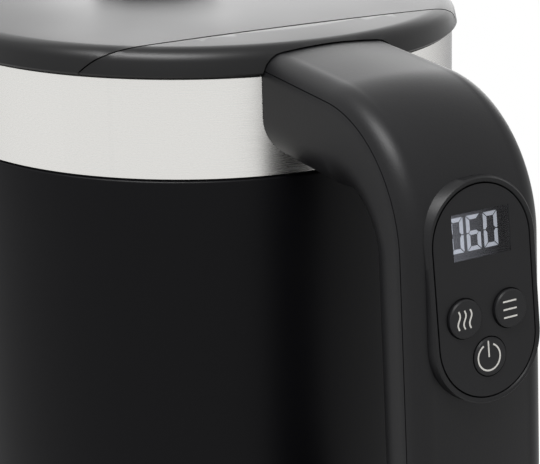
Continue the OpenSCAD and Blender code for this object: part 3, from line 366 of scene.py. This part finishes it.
def make_materials(colours):
    """Fills the table of finishes. Each is named for its real material and how it was made."""
    MATERIALS.update(
        # In each grained finish, the two colours are painted shade in the grain's hollows and a
        # painted highlight on its tops.
        grained=grained_plastic("ABS moulded black, spark grain", colours.handle_grain_shade,
                                colours.handle_grain_highlight, rough=0.42, grain_mm=0.55, depth_mm=0.02,
                                specular=0.22),
        lid=grained_plastic("ABS moulded black, fine matte", "0A0A0B", "101011", rough=0.36,
                            grain_mm=0.45, depth_mm=0.006, specular=0.25),
        insert=grained_plastic("ABS moulded charcoal, smooth matte", "101011", "161618",
                               rough=0.42, grain_mm=0.35, depth_mm=0.01, specular=0.2),
        button=grained_plastic("ABS button cap, smooth matte", "121213", "19191B", rough=0.40,
                               grain_mm=0.35, depth_mm=0.01, specular=0.22),
        shell=satin_plastic("ABS moulded black, satin", colours.shell, rough=0.35, specular=0.1),
        black=satin_plastic("Polyamide moulded black, matte", "1D1D1F", rough=0.5),
        grey=satin_plastic("Polypropylene moulded grey", "A9ABAE", rough=0.45),
        rubber=satin_plastic("Rubber, moulded black", "161617", rough=0.8, specular=0.3),
        silicone=satin_plastic("Silicone, moulded grey", "8B8D90", rough=0.6),
        board=satin_plastic("Circuit board, green solder mask", "1D5B34", rough=0.35),
        socket=satin_plastic("Display mask, black", "1B1C1F", rough=0.5, specular=0.2),
        steel=brushed_steel("Stainless steel, brushed round", colours.steel, rough=0.27,
                            stretch_mm=(14.0, 14.0, 0.35)),
        spout=brushed_steel("Stainless steel, brushed spout", colours.steel, rough=0.25,
                            stretch_mm=(2.0, 2.0, 9.0)),
        vessel=brushed_steel("Stainless steel, drawn vessel", "CFCECB", rough=0.32,
                             stretch_mm=(20.0, 20.0, 0.5)),
        zinc=plain_metal("Steel, zinc plated", "A8ACB0", rough=0.35),
        aluminium=plain_metal("Aluminium, cast", "B4B4B6", rough=0.45, speck_mm=1.5),
        brass=plain_metal("Brass, stamped", "C79F4E", rough=0.3),
        # The lens's two colours are painted light: pale where light gets in, dark elsewhere.
        lens=smoked_lens("Acrylic lens, smoked", "74767E", "2B2B2D", alpha=0.42),
        digits=lit_marks("Light guide, pale blue-grey", colours.digits, strength=1.1),
        print=lit_marks("Pad print, warm grey", "BCBAB5", strength=0.0),
    )


# ---------------------------------------------------------------- lid and cover
def build_lid():
    """Lid top, knob, plug and hinge cover as smooth copies, and the small parts round them."""
    soft_deg = 25.0
    smooth_copy("lid_cap", "lid_top", "lid", "lid", soft_deg)
    smooth_copy("hinge_cover", "hinge_cover_skin", "kettle", "lid", soft_deg)
    smooth_copy("lid_knob", "knob", "lid", "black")
    smooth_copy("lid_plug", "plug", "lid", "grey")
    refinish({"lid_seal": "silicone", "lid_arms": "grey", "knob_screw": "zinc",
              "hinge_block": "zinc", "hinge_pin": "steel", "hinge_screws": "zinc",
              "top_ring": "black"})


# ---------------------------------------------------------------- body
def build_body():
    """Collar, shell and vessel as smooth copies, and what sits under the vessel."""
    smooth_copy("steel_collar", "collar", "kettle", "steel")
    smooth_copy("body_shell", "shell", "kettle", "shell")
    smooth_copy("vessel", "vessel_wall", "kettle", "vessel")
    refinish({"bottom_cover": "black", "kettle_feet": "rubber", "bottom_screws": "zinc",
              "heat_plate": "aluminium", "heating_element": "aluminium",
              "element_terminals": "brass", "control_socket": "black",
              "socket_contacts": "brass", "temperature_sensor": "steel", "strainer": "vessel",
              "spout_seal": "silicone"})


# ---------------------------------------------------------------- spout
def build_spout():
    """Spout tube and its flange as smooth copies."""
    smooth_copy("spout", "gooseneck", "kettle", "spout")
    smooth_copy("spout_flange", "spout_collar", "kettle", "spout")


# ---------------------------------------------------------------- handle
# Line of the handle's outer face, from the lid round the grip and back to the body.
ARM_START, ARM_END = 66.0, 100.7        # x at which the upper arm's straight starts and ends
ARM_FALL, ARM_RISE = 3.4, 4.8           # its fall in degrees, and its height over LID_Z
RISE_X = 74.0                           # x at which that height is measured
BEND_R = 36.4                           # bend from the upper arm into the grip
GRIP_LENGTH, GRIP_LEAN = 55.0, 5.2      # straight grip, and its lean in degrees
LOW_TURN, LOW_R = 26.0, 110.0           # wide bend under the grip
FOOT_TURN, FOOT_R, FOOT_RUN = 58.0, 28.0, 66.0   # tight bend and the straight into the body
STATION_STEP = 1.1                      # distance between stations along the line
DEPTHS = (27.0, 26.5, 19.5, 19.5, 20.5, 22.0, 22.0)   # at the start and after each stretch
HANDLE_WALL = 2.0
PARTING, PARTING_GAP = 4.0, 0.12        # parting line's depth under the face, and half its gap
PANEL_HOLE = (15.05, 52.35)             # half width and length
SHELL_Z, SHELL_R = (22.5, 173.6), (78.2, 74.9)        # shell's foot and top
COLLAR_Z, COLLAR_R = (173.6, 199.7), (74.35, 73.65)   # collar's foot and top
COVER_R, BODY_GAP = 71.8, 0.3           # hinge cover above the collar, and the gap to all three


def walk(x, z, heading, route):
    """Stations (x, z, heading, distance) along straights and clockwise arcs. Each stretch is
    (length, turn in degrees, steps), and the heading is in degrees."""
    out = [[x, z, heading, 0.0]]
    for length, turn, steps in route:
        step, bend = length / steps, turn / steps
        chord = step if turn == 0 else 2 * step / math.radians(bend) * math.sin(
            math.radians(bend) / 2)
        for _ in range(steps):
            x, z, a, d = out[-1]
            mid = math.radians(a - bend / 2)
            out.append([x + chord * math.cos(mid), z + chord * math.sin(mid), a - bend, d + step])
    return np.array(out)


def handle_path():
    """Line of the handle's outer face in the XZ plane, and the handle's depth at each station: a
    falling straight, a bend, the leaning grip, a wide and a tight bend, and a straight."""
    bend = 90 - GRIP_LEAN - ARM_FALL
    run = (ARM_END - ARM_START) / math.cos(math.radians(ARM_FALL))
    lengths = [run, math.radians(bend) * BEND_R, GRIP_LENGTH, math.radians(LOW_TURN) * LOW_R,
               math.radians(FOOT_TURN) * FOOT_R, FOOT_RUN]
    turns = [0, bend, 0, LOW_TURN, FOOT_TURN, 0]
    route = [(length, turn, max(2, round(length / STATION_STEP)))
             for length, turn in zip(lengths, turns)]
    z0 = LID_Z + ARM_RISE + (RISE_X - ARM_START) * math.tan(math.radians(ARM_FALL))
    path = walk(ARM_START, z0, -ARM_FALL, route)
    return path, np.interp(path[:, 3], np.cumsum([0] + lengths), DEPTHS)


def handle_row(width, edge_r, parting, inset):
    """Outer half of the section from one parting line over the outer face to the other, moved
    inwards by an inset: a crowned face between two rounded edges. Points are (across, out)."""
    edge_steps, edge_top_deg, crown = 14, 88, 0.8
    flat, r = width / 2 - edge_r, edge_r - inset
    low = math.degrees(math.asin((edge_r - parting) / r))
    a = np.radians(np.linspace(low, edge_top_deg, edge_steps))
    side = np.stack([flat + r * np.cos(a), -edge_r + r * np.sin(a)], axis=-1)
    w = np.linspace(flat, -flat, 2 * edge_steps)
    face = np.stack([w, crown * (1 - (w / flat) ** 2) - inset], axis=-1)
    return np.concatenate([side, face, side[::-1] * [-1, 1]])


def inner_rows(width, edge_r, grip_r, parting, depth, inset):
    """Inner half of the section at every station, moved inwards by an inset: from one parting
    line down the side, round the inner edges and up to the other. Points are (across, out), one
    row per station."""
    edge_steps, grip_steps = 5, 12
    half, r, inner_r = width / 2, edge_r - inset, grip_r - inset
    high = math.degrees(math.asin((edge_r - parting) / r))
    a = np.radians(np.linspace(high, 0, edge_steps))
    top = np.stack([half - edge_r + r * np.cos(a), -edge_r + r * np.sin(a)], axis=-1)
    b = np.radians(np.linspace(0, -90, grip_steps))
    across = np.broadcast_to(half - grip_r + inner_r * np.cos(b), (len(depth), grip_steps))
    out = -(depth[:, None] - grip_r) + inner_r * np.sin(b)
    right = np.concatenate([np.broadcast_to(top, (len(depth),) + top.shape),
                            np.stack([across, out], axis=-1)], axis=1)
    return np.concatenate([right, right[:, ::-1] * [-1, 1]], axis=1)


def place_rows(path, rows):
    """Section points carried to their stations: x and z move along the station's normal."""
    a = np.radians(path[:, 2])[:, None]
    if rows.ndim == 2:
        rows = np.broadcast_to(rows, (len(path),) + rows.shape)
    across, out = rows[..., 0], rows[..., 1]
    return np.stack([path[:, 0][:, None] - np.sin(a) * out, across,
                     path[:, 1][:, None] + np.cos(a) * out], axis=-1)


def body_radius(z):
    """Radius, with its gap, of the round body that the handle ends on at a height."""
    shell = np.interp(z, SHELL_Z, SHELL_R)
    collar = np.interp(z, COLLAR_Z, COLLAR_R)
    return np.where(z < COLLAR_Z[0], shell, np.where(z < COLLAR_Z[1], collar, COVER_R)) + BODY_GAP


def trimmed(lines, count):
    """Lengthways lines (stations, lines, 3) cut where they leave the body at the top and come
    back to it at the bottom, and sampled again evenly by station number."""
    n = len(lines)
    radius = np.hypot(lines[..., 0], lines[..., 1])
    outside = radius - body_radius(lines[..., 2])
    first = np.argmax(outside > 0, axis=0)
    last = n - 1 - np.argmax(outside[::-1] > 0, axis=0)
    cols = np.arange(lines.shape[1])

    def crossing(inside, beyond):
        """Station number, between two stations, at which each line meets the body."""
        f0, f1 = outside[inside, cols], outside[beyond, cols]
        t = np.clip(f0 / np.where(np.abs(f0 - f1) < 1e-9, 1.0, f0 - f1), 0.0, 1.0)
        return inside + (beyond - inside) * t

    begin = crossing(np.maximum(first - 1, 0), first)
    end = crossing(np.minimum(last + 1, n - 1), last)
    u = np.linspace(0, 1, count)[:, None]
    at = begin[None, :] * (1 - u) + end[None, :] * u
    low = np.clip(np.floor(at).astype(int), 0, n - 2)
    t = (at - low)[..., None]
    return lines[low, cols[None, :]] * (1 - t) + lines[low + 1, cols[None, :]] * t


def capped(name, ring):
    """A closed solid from a (stations, ring) grid whose ring runs along the outside and back
    along the inside: both ends are closed across the strip."""
    rows, cols = ring.shape[:2]
    quads = grid_quads(rows, cols, False, True)
    j = np.arange(cols // 2 - 1)
    first = np.stack([j, j + 1, cols - 2 - j, cols - 1 - j], axis=-1)
    ends = np.concatenate([first, first[:, ::-1] + (rows - 1) * cols])
    return mesh_from(name, ring.reshape(-1, 3), np.concatenate([quads, ends]))


def panel_points(points):
    """Points (across, up, out) of the panel's own frame in the kettle's frame: the panel
    faces +X and leans back by its tilt."""
    p = np.asarray(points, float)
    t = math.radians(PANEL_TILT)
    x = PANEL_X + p[..., 2] * math.cos(t) - p[..., 1] * math.sin(t)
    z = LID_Z - PANEL_DROP + p[..., 2] * math.sin(t) + p[..., 1] * math.cos(t)
    return np.stack([x, p[..., 0], z], axis=-1)


def stadium(half, length, count=160):
    """Points round an upright stadium at even distances: a half circle and a straight, and the
    same two turned by half a turn."""
    straight = length / 2 - half
    arc, side = math.pi * half, 2 * straight
    s = np.linspace(0, 2 * (arc + side), count, endpoint=False)
    out = np.empty((count, 2))
    for start, sign in ((0, 1), (arc + side, -1)):
        t = s - start
        bend, run = (t >= 0) & (t < arc), (t >= arc) & (t < arc + side)
        a, down = t[bend] / half, t[run] - arc
        out[bend] = sign * np.stack([half * np.cos(a), straight + half * np.sin(a)], axis=-1)
        out[run] = sign * np.stack([-half + 0 * down, straight - down], axis=-1)
    return out


def cut(obj, tool):
    """Takes the tool's volume out of a piece and removes the tool."""
    boolean = obj.modifiers.new("cut", "BOOLEAN")
    boolean.operation = "DIFFERENCE"
    boolean.solver = "EXACT"
    boolean.object = tool
    bpy.context.view_layer.update()
    depsgraph = bpy.context.evaluated_depsgraph_get()
    mesh = bpy.data.meshes.new_from_object(obj.evaluated_get(depsgraph))
    obj.modifiers.clear()
    obj.data = mesh
    bpy.data.objects.remove(tool)
    return clean(obj, outward=False)


def build_handle(sizes):
    """Two half shells swept along the handle's line: the outer one with a hole for the panel, and
    the inner one that fingers close on."""
    path, depth = handle_path()
    width, edge_r, grip_r = sizes.handle_width, sizes.handle_round, sizes.grip_round

    parting = PARTING - PARTING_GAP
    outside, inside = (place_rows(path, handle_row(width, edge_r, parting, inset))
                       for inset in (0.0, HANDLE_WALL))
    ring = np.concatenate([outside, inside[:, ::-1]], axis=1)
    shell = capped("handle_shell", trimmed(ring, len(path)))
    behind, before = -10.0, 30.0
    cut(shell, surface("panel_cutter", [panel_points(plate(stadium(*PANEL_HOLE), behind, before))]))
    dressed(shell, "kettle", "grained", ("handle_outer",))

    parting = PARTING + PARTING_GAP
    outside, inside = (place_rows(path, inner_rows(width, edge_r, grip_r, parting, depth, inset))
                       for inset in (0.0, HANDLE_WALL))
    ring = np.concatenate([outside, inside[:, ::-1]], axis=1)
    grip = capped("handle_grip", trimmed(ring, len(path)))
    dressed(grip, "kettle", "grained", ("handle_inner",))
    refinish({"handle_bracket": "zinc", "handle_screws": "zinc"})


# ---------------------------------------------------------------- panel
FRAME, OPENING, CREST = (15.0, 52.2), (13.75, 49.7), (14.4, 51.0)   # half widths and lengths
FRAME_STEPS = 200


def face_height(up):
    """How far the handle's outer face stands out of the panel's plane at a height up it: the
    face's line is turned into the panel's frame and read off between its stations."""
    beyond_x, reach = 90, 60
    path, _ = handle_path()
    t = math.radians(PANEL_TILT)
    dx, dz = path[:, 0] - PANEL_X, path[:, 1] - (LID_Z - PANEL_DROP)
    along = -dx * math.sin(t) + dz * math.cos(t)
    out = dx * math.cos(t) + dz * math.sin(t)
    keep = (path[:, 0] > beyond_x) & (np.abs(along) < reach)
    order = np.argsort(along[keep])
    return np.interp(up, along[keep][order], out[keep][order])


def build_panel(sizes):
    """The panel's frame is a closed ring of stadium outlines whose face follows the handle's; its
    upper corners spread to meet the handle. Insert, lens and buttons are smooth copies."""
    outer, inner, crest = (stadium(*shape, FRAME_STEPS) for shape in (FRAME, OPENING, CREST))
    back, sunk, least = -4.5, 0.1, 0.25
    inner_edge, outer_edge, tuck, corner_spread = 0.25, 0.3, 0.15, 2.2
    front = np.maximum(face_height(crest[:, 1]) - sunk, least)
    lift = np.clip(outer[:, 1] / (FRAME[1] / 2), 0, 1) ** 2 * np.abs(outer[:, 0]) / FRAME[0]
    spread = corner_spread * (lift / np.linalg.norm(outer, axis=1))[:, None] * outer
    face = [raised(inner * (1 - t) + outer * t, front + rise)
            for t, rise in ((0.2, 0.0), (0.75, 0.05))]
    rows = [raised(inner, back), raised(inner, front - inner_edge), *face,
            raised(outer, front - outer_edge),
            raised(outer + spread, face_height(outer[:, 1]) - tuck), raised(outer, back)]
    frame_ring = surface("panel_frame", [panel_points(np.stack(rows))], close_rows=True)
    dressed(frame_ring, "kettle", "grained", ("panel_bezel",))

    smooth_copy("panel_insert", "panel_face", "kettle", "insert")
    smooth_copy("display_window", "display_lens", "kettle", "lens")
    for key in ("menu", "heat", "power"):
        smooth_copy(key + "_button", key + "_cap", key + "_key", "button")
    refinish({"display_module": "socket", "control_board": "board", "button_switches": "black"})
    build_digits(sizes)
    build_marks()


def build_digits(sizes):
    """Three seven-bar digits, each bar a thin plate on the display with mitred ends."""
    height, width, pitch, bar = sizes.digit_height, 3.9, 4.8, 0.95
    mid, shift, gap = 13.25, -0.3, 0.17
    back, front = -2.5, -2.42
    w, h = width / 2, height / 2
    inner, low = w - bar, h - bar
    top = np.array([[-w + gap, h], [w - gap, h], [inner - gap, low], [-inner + gap, low]])
    side = np.array([[w, h - gap], [w, gap], [w - bar / 2, gap / 2], [inner, bar / 2 + gap],
                     [inner, low - gap]])
    centre = np.array([[-w + bar / 2 + gap, 0], [-inner + gap, bar / 2], [inner - gap, bar / 2],
                       [w - bar / 2 - gap, 0], [inner - gap, -bar / 2], [-inner + gap, -bar / 2]])
    bars = {"a": top, "d": top * [1, -1], "g": centre, "b": side, "c": side * [1, -1],
            "f": side * [-1, 1], "e": side * [-1, -1]}
    shapes = {"0": "abcdef", "6": "acdefg"}
    grids = [panel_points(plate(bars[key] + [(k - 1) * pitch + shift, mid], back, front))
             for k, digit in enumerate("060") for key in shapes[digit]]
    dressed(surface("display_digits", grids), "kettle", "digits")


def build_marks():
    """Printed symbols: three lines, three waves of heat, and a ring with a bar, each a thin
    ribbon on the face of its button."""
    button_x, pair_up, power_up, aside = 6.4, -5.2, -15.3, -0.5
    pair_face, power_face, line_width, thickness = 1.0, 0.5, 0.38, 0.04
    line_half, line_pitch = 1.9, 1.85
    wave_half, wave_pitch, wave_swing = 2.15, 1.6, 0.36
    ring_r, ring_opening_deg, bar = 3.1, 26, 3.8
    straight_steps, wave_steps, ring_steps = 4, 24, 48

    def mark(name, body, face, lines):
        """One symbol of ribbons along pairs of across and up coordinates."""
        grids = [panel_points(ribbon(np.stack(line, 1), line_width, face, face + thickness))
                 for line in lines]
        dressed(surface(name, grids), body, "print")

    along = button_x + aside + np.linspace(-line_half, line_half, straight_steps)
    mark("menu_mark", "menu_key", pair_face,
         [(along, np.full(straight_steps, pair_up + k * line_pitch)) for k in (-1, 0, 1)])
    t = np.linspace(-1, 1, wave_steps)
    mark("heat_mark", "heat_key", pair_face,
         [(-button_x + aside + k * wave_pitch + wave_swing * np.sin(t * np.pi),
           pair_up + wave_half * t) for k in (-1, 0, 1)])
    a = np.radians(np.linspace(90 + ring_opening_deg, 450 - ring_opening_deg, ring_steps))
    mark("power_mark", "power_key", power_face,
         [(aside + ring_r * np.cos(a), power_up + ring_r * np.sin(a)),
          (np.full(straight_steps, aside), power_up + np.linspace(0, bar, straight_steps))])


# ---------------------------------------------------------------- power base
def build_base():
    """Base housing and connector column as smooth copies, and the small parts of the base."""
    smooth_copy("base_housing", "base_top", "base", "shell")
    smooth_copy("connector_tower", "tower_column", "tower", "black")
    refinish({"base_plate": "black", "base_feet": "rubber", "base_screws": "zinc",
              "cord_gland": "rubber", "tower_contacts": "brass"})


# ---------------------------------------------------------------- stage
LENS, SENSOR = 100.65, 36.0             # millimetres
CAMERA_SPOT = (0.3870143, -0.2011228, 0.2851905)      # metres, as all of the stage is
CAMERA_AXES = ((0.50511889, 0.86300174, -0.00910456),     # to the right of the view
               (-0.27822618, 0.17281502, 0.94484134),     # up in the view
               (0.81697313, -0.47472409, 0.32740181))     # from the kettle back to the camera
LAMP_TARGET = (0.0, 0.0, 0.2)
LAMPS = (("back_low", (-1.32, 1.19, 0.51), (1.45, 0.96), 10.0),   # spot, width and height, watts
         ("back_high", (-1.51, 0.21, 1.15), (1.45, 1.6), 5.5),
         ("key_soft", (0.28, -0.49, 1.31), (0.75, 0.4), 20.0))
FLOOR_HALF, SKY_LIGHT = 6.0, 0.5        # half the floor's width, and the world's light on things


def placed(name, data, axes, spot):
    """Links a new object at a spot, with its own X, Y and Z axes along three directions."""
    obj = bpy.data.objects.new(name, data)
    bpy.context.scene.collection.objects.link(obj)
    rows = [[axis[k] for axis in axes] + [spot[k]] for k in range(3)]
    obj.matrix_world = Matrix(rows + [[0, 0, 0, 1]])
    return obj


def mirror_rays(tree):
    """1 on rays that the camera, a glossy surface or a clear surface sends out, 0 on others."""
    path = add(tree, "ShaderNodeLightPath")
    seen = path.outputs["Is Camera Ray"]
    for ray in ("Is Glossy Ray", "Is Transmission Ray"):
        seen = add(tree, "ShaderNodeMath", {"operation": "MAXIMUM"},
                   {0: seen, 1: path.outputs[ray]}).outputs[0]
    return seen


def lamp(name, spot, size, power):
    """A soft lamp, size wide and tall, at a spot, facing the lamps' target: its Z axis points
    away from the target, and its X axis is level."""
    data = bpy.data.lights.new(name, "AREA")
    data.shape = "RECTANGLE"
    data.size, data.size_y = size
    data.energy = power
    z = np.array(spot, float) - np.array(LAMP_TARGET, float)
    z /= np.linalg.norm(z)
    x = np.cross([0, 0, 1], z)
    x /= np.linalg.norm(x)
    placed(name, data, (x, np.cross(z, x), z), spot)


def build_stage():
    """Camera, pale floor, soft lamps and a plain pale world."""
    data = bpy.data.cameras.new("view")
    data.lens = LENS
    data.sensor_width = SENSOR
    data.clip_start, data.clip_end = 0.01, 50.0
    bpy.context.scene.camera = placed("view", data, CAMERA_AXES, CAMERA_SPOT)

    corners = np.array([[[-1, -1, 0], [1, -1, 0]], [[-1, 1, 0], [1, 1, 0]]], float)
    floor = surface("floor", [corners * FLOOR_HALF / MM], close_cols=False)
    material, tree = new_material("Paper backdrop, pale")
    white = add(tree, "ShaderNodeEmission", {"Color": (1, 1, 1, 1), "Strength": 1.0})
    paper = add(tree, "ShaderNodeBsdfDiffuse", {"Color": linear("F2F2F2")})
    seen = add(tree, "ShaderNodeMixShader", None, {0: mirror_rays(tree), 1: paper.outputs[0],
                                                   2: white.outputs[0]})
    add(tree, "ShaderNodeOutputMaterial", None, {"Surface": seen.outputs[0]})
    floor.data.materials.append(material)

    world = bpy.data.worlds.new("studio")
    bpy.context.scene.world = world
    world.use_nodes = True
    tree = world.node_tree
    tree.nodes.clear()
    light = add(tree, "ShaderNodeBackground", {"Color": (1, 1, 1, 1), "Strength": SKY_LIGHT})
    white = add(tree, "ShaderNodeBackground", {"Color": (1, 1, 1, 1), "Strength": 1.0})
    mix = add(tree, "ShaderNodeMixShader", None, {0: mirror_rays(tree), 1: light.outputs[0],
                                                  2: white.outputs[0]})
    add(tree, "ShaderNodeOutputWorld", None, {"Surface": mix.outputs[0]})

    for settings in LAMPS:
        lamp(*settings)
    bpy.context.scene.view_settings.view_transform = "Standard"


# ---------------------------------------------------------------- operators
class KETTLE_OT_materials(bpy.types.Operator):
    """Make the kettle's finishes"""
    bl_idname = "kettle.materials"
    bl_label = "Finishes"

    def execute(self, context):
        make_materials(context.scene.kettle_colours)
        return {"FINISHED"}


class KETTLE_OT_stage(bpy.types.Operator):
    """Set up the camera, lamps, floor and world"""
    bl_idname = "kettle.stage"
    bl_label = "Stage"

    def execute(self, context):
        build_stage()
        return {"FINISHED"}


class KETTLE_OT_lid(bpy.types.Operator):
    """Build the lid, its knob and plug, and the hinge cover"""
    bl_idname = "kettle.lid"
    bl_label = "Lid"

    def execute(self, context):
        build_lid()
        return {"FINISHED"}


class KETTLE_OT_body(bpy.types.Operator):
    """Build the steel collar, the black shell and the vessel"""
    bl_idname = "kettle.body"
    bl_label = "Body"

    def execute(self, context):
        build_body()
        return {"FINISHED"}


class KETTLE_OT_spout(bpy.types.Operator):
    """Build the gooseneck spout and its flange"""
    bl_idname = "kettle.spout"
    bl_label = "Spout"

    def execute(self, context):
        build_spout()
        return {"FINISHED"}


class KETTLE_OT_handle(bpy.types.Operator):
    """Build the two shells of the handle"""
    bl_idname = "kettle.handle"
    bl_label = "Handle"

    def execute(self, context):
        build_handle(context.scene.kettle_sizes)
        return {"FINISHED"}


class KETTLE_OT_panel(bpy.types.Operator):
    """Build the control panel with its display and buttons"""
    bl_idname = "kettle.panel"
    bl_label = "Panel"

    def execute(self, context):
        build_panel(context.scene.kettle_sizes)
        return {"FINISHED"}


class KETTLE_OT_base(bpy.types.Operator):
    """Build the power base and its connector"""
    bl_idname = "kettle.base"
    bl_label = "Power base"

    def execute(self, context):
        build_base()
        return {"FINISHED"}


STEPS = ("stage", "materials", "lid", "body", "spout", "handle", "panel", "base")


class KETTLE_PT_panel(bpy.types.Panel):
    """Lists the kettle's sizes, colours and building steps"""
    bl_idname = "KETTLE_PT_panel"
    bl_label = "Kettle"
    bl_space_type = "VIEW_3D"
    bl_region_type = "UI"
    bl_category = "Kettle"

    def draw(self, context):
        column = self.layout.column()
        for group in (context.scene.kettle_sizes, context.scene.kettle_colours):
            for key in group.bl_rna.properties.keys():
                if key not in {"rna_type", "name"}:
                    column.prop(group, key)
        for step in STEPS:
            column.operator("kettle." + step)


CLASSES = (KETTLE_PG_sizes, KETTLE_PG_colours, KETTLE_OT_materials, KETTLE_OT_stage,
           KETTLE_OT_lid, KETTLE_OT_body, KETTLE_OT_spout, KETTLE_OT_handle, KETTLE_OT_panel,
           KETTLE_OT_base, KETTLE_PT_panel)


def register():
    """Makes the classes and the scene's two property groups known to Blender."""
    for item in CLASSES:
        bpy.utils.register_class(item)
    bpy.types.Scene.kettle_sizes = bpy.props.PointerProperty(type=KETTLE_PG_sizes)
    bpy.types.Scene.kettle_colours = bpy.props.PointerProperty(type=KETTLE_PG_colours)


def unregister():
    """Takes back what register made known."""
    del bpy.types.Scene.kettle_colours
    del bpy.types.Scene.kettle_sizes
    for item in reversed(CLASSES):
        bpy.utils.unregister_class(item)


def main():
    """Registers the add-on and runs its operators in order."""
    register()
    for step in STEPS:
        getattr(bpy.ops.kettle, step)()


if __name__ == "__main__":
    main()
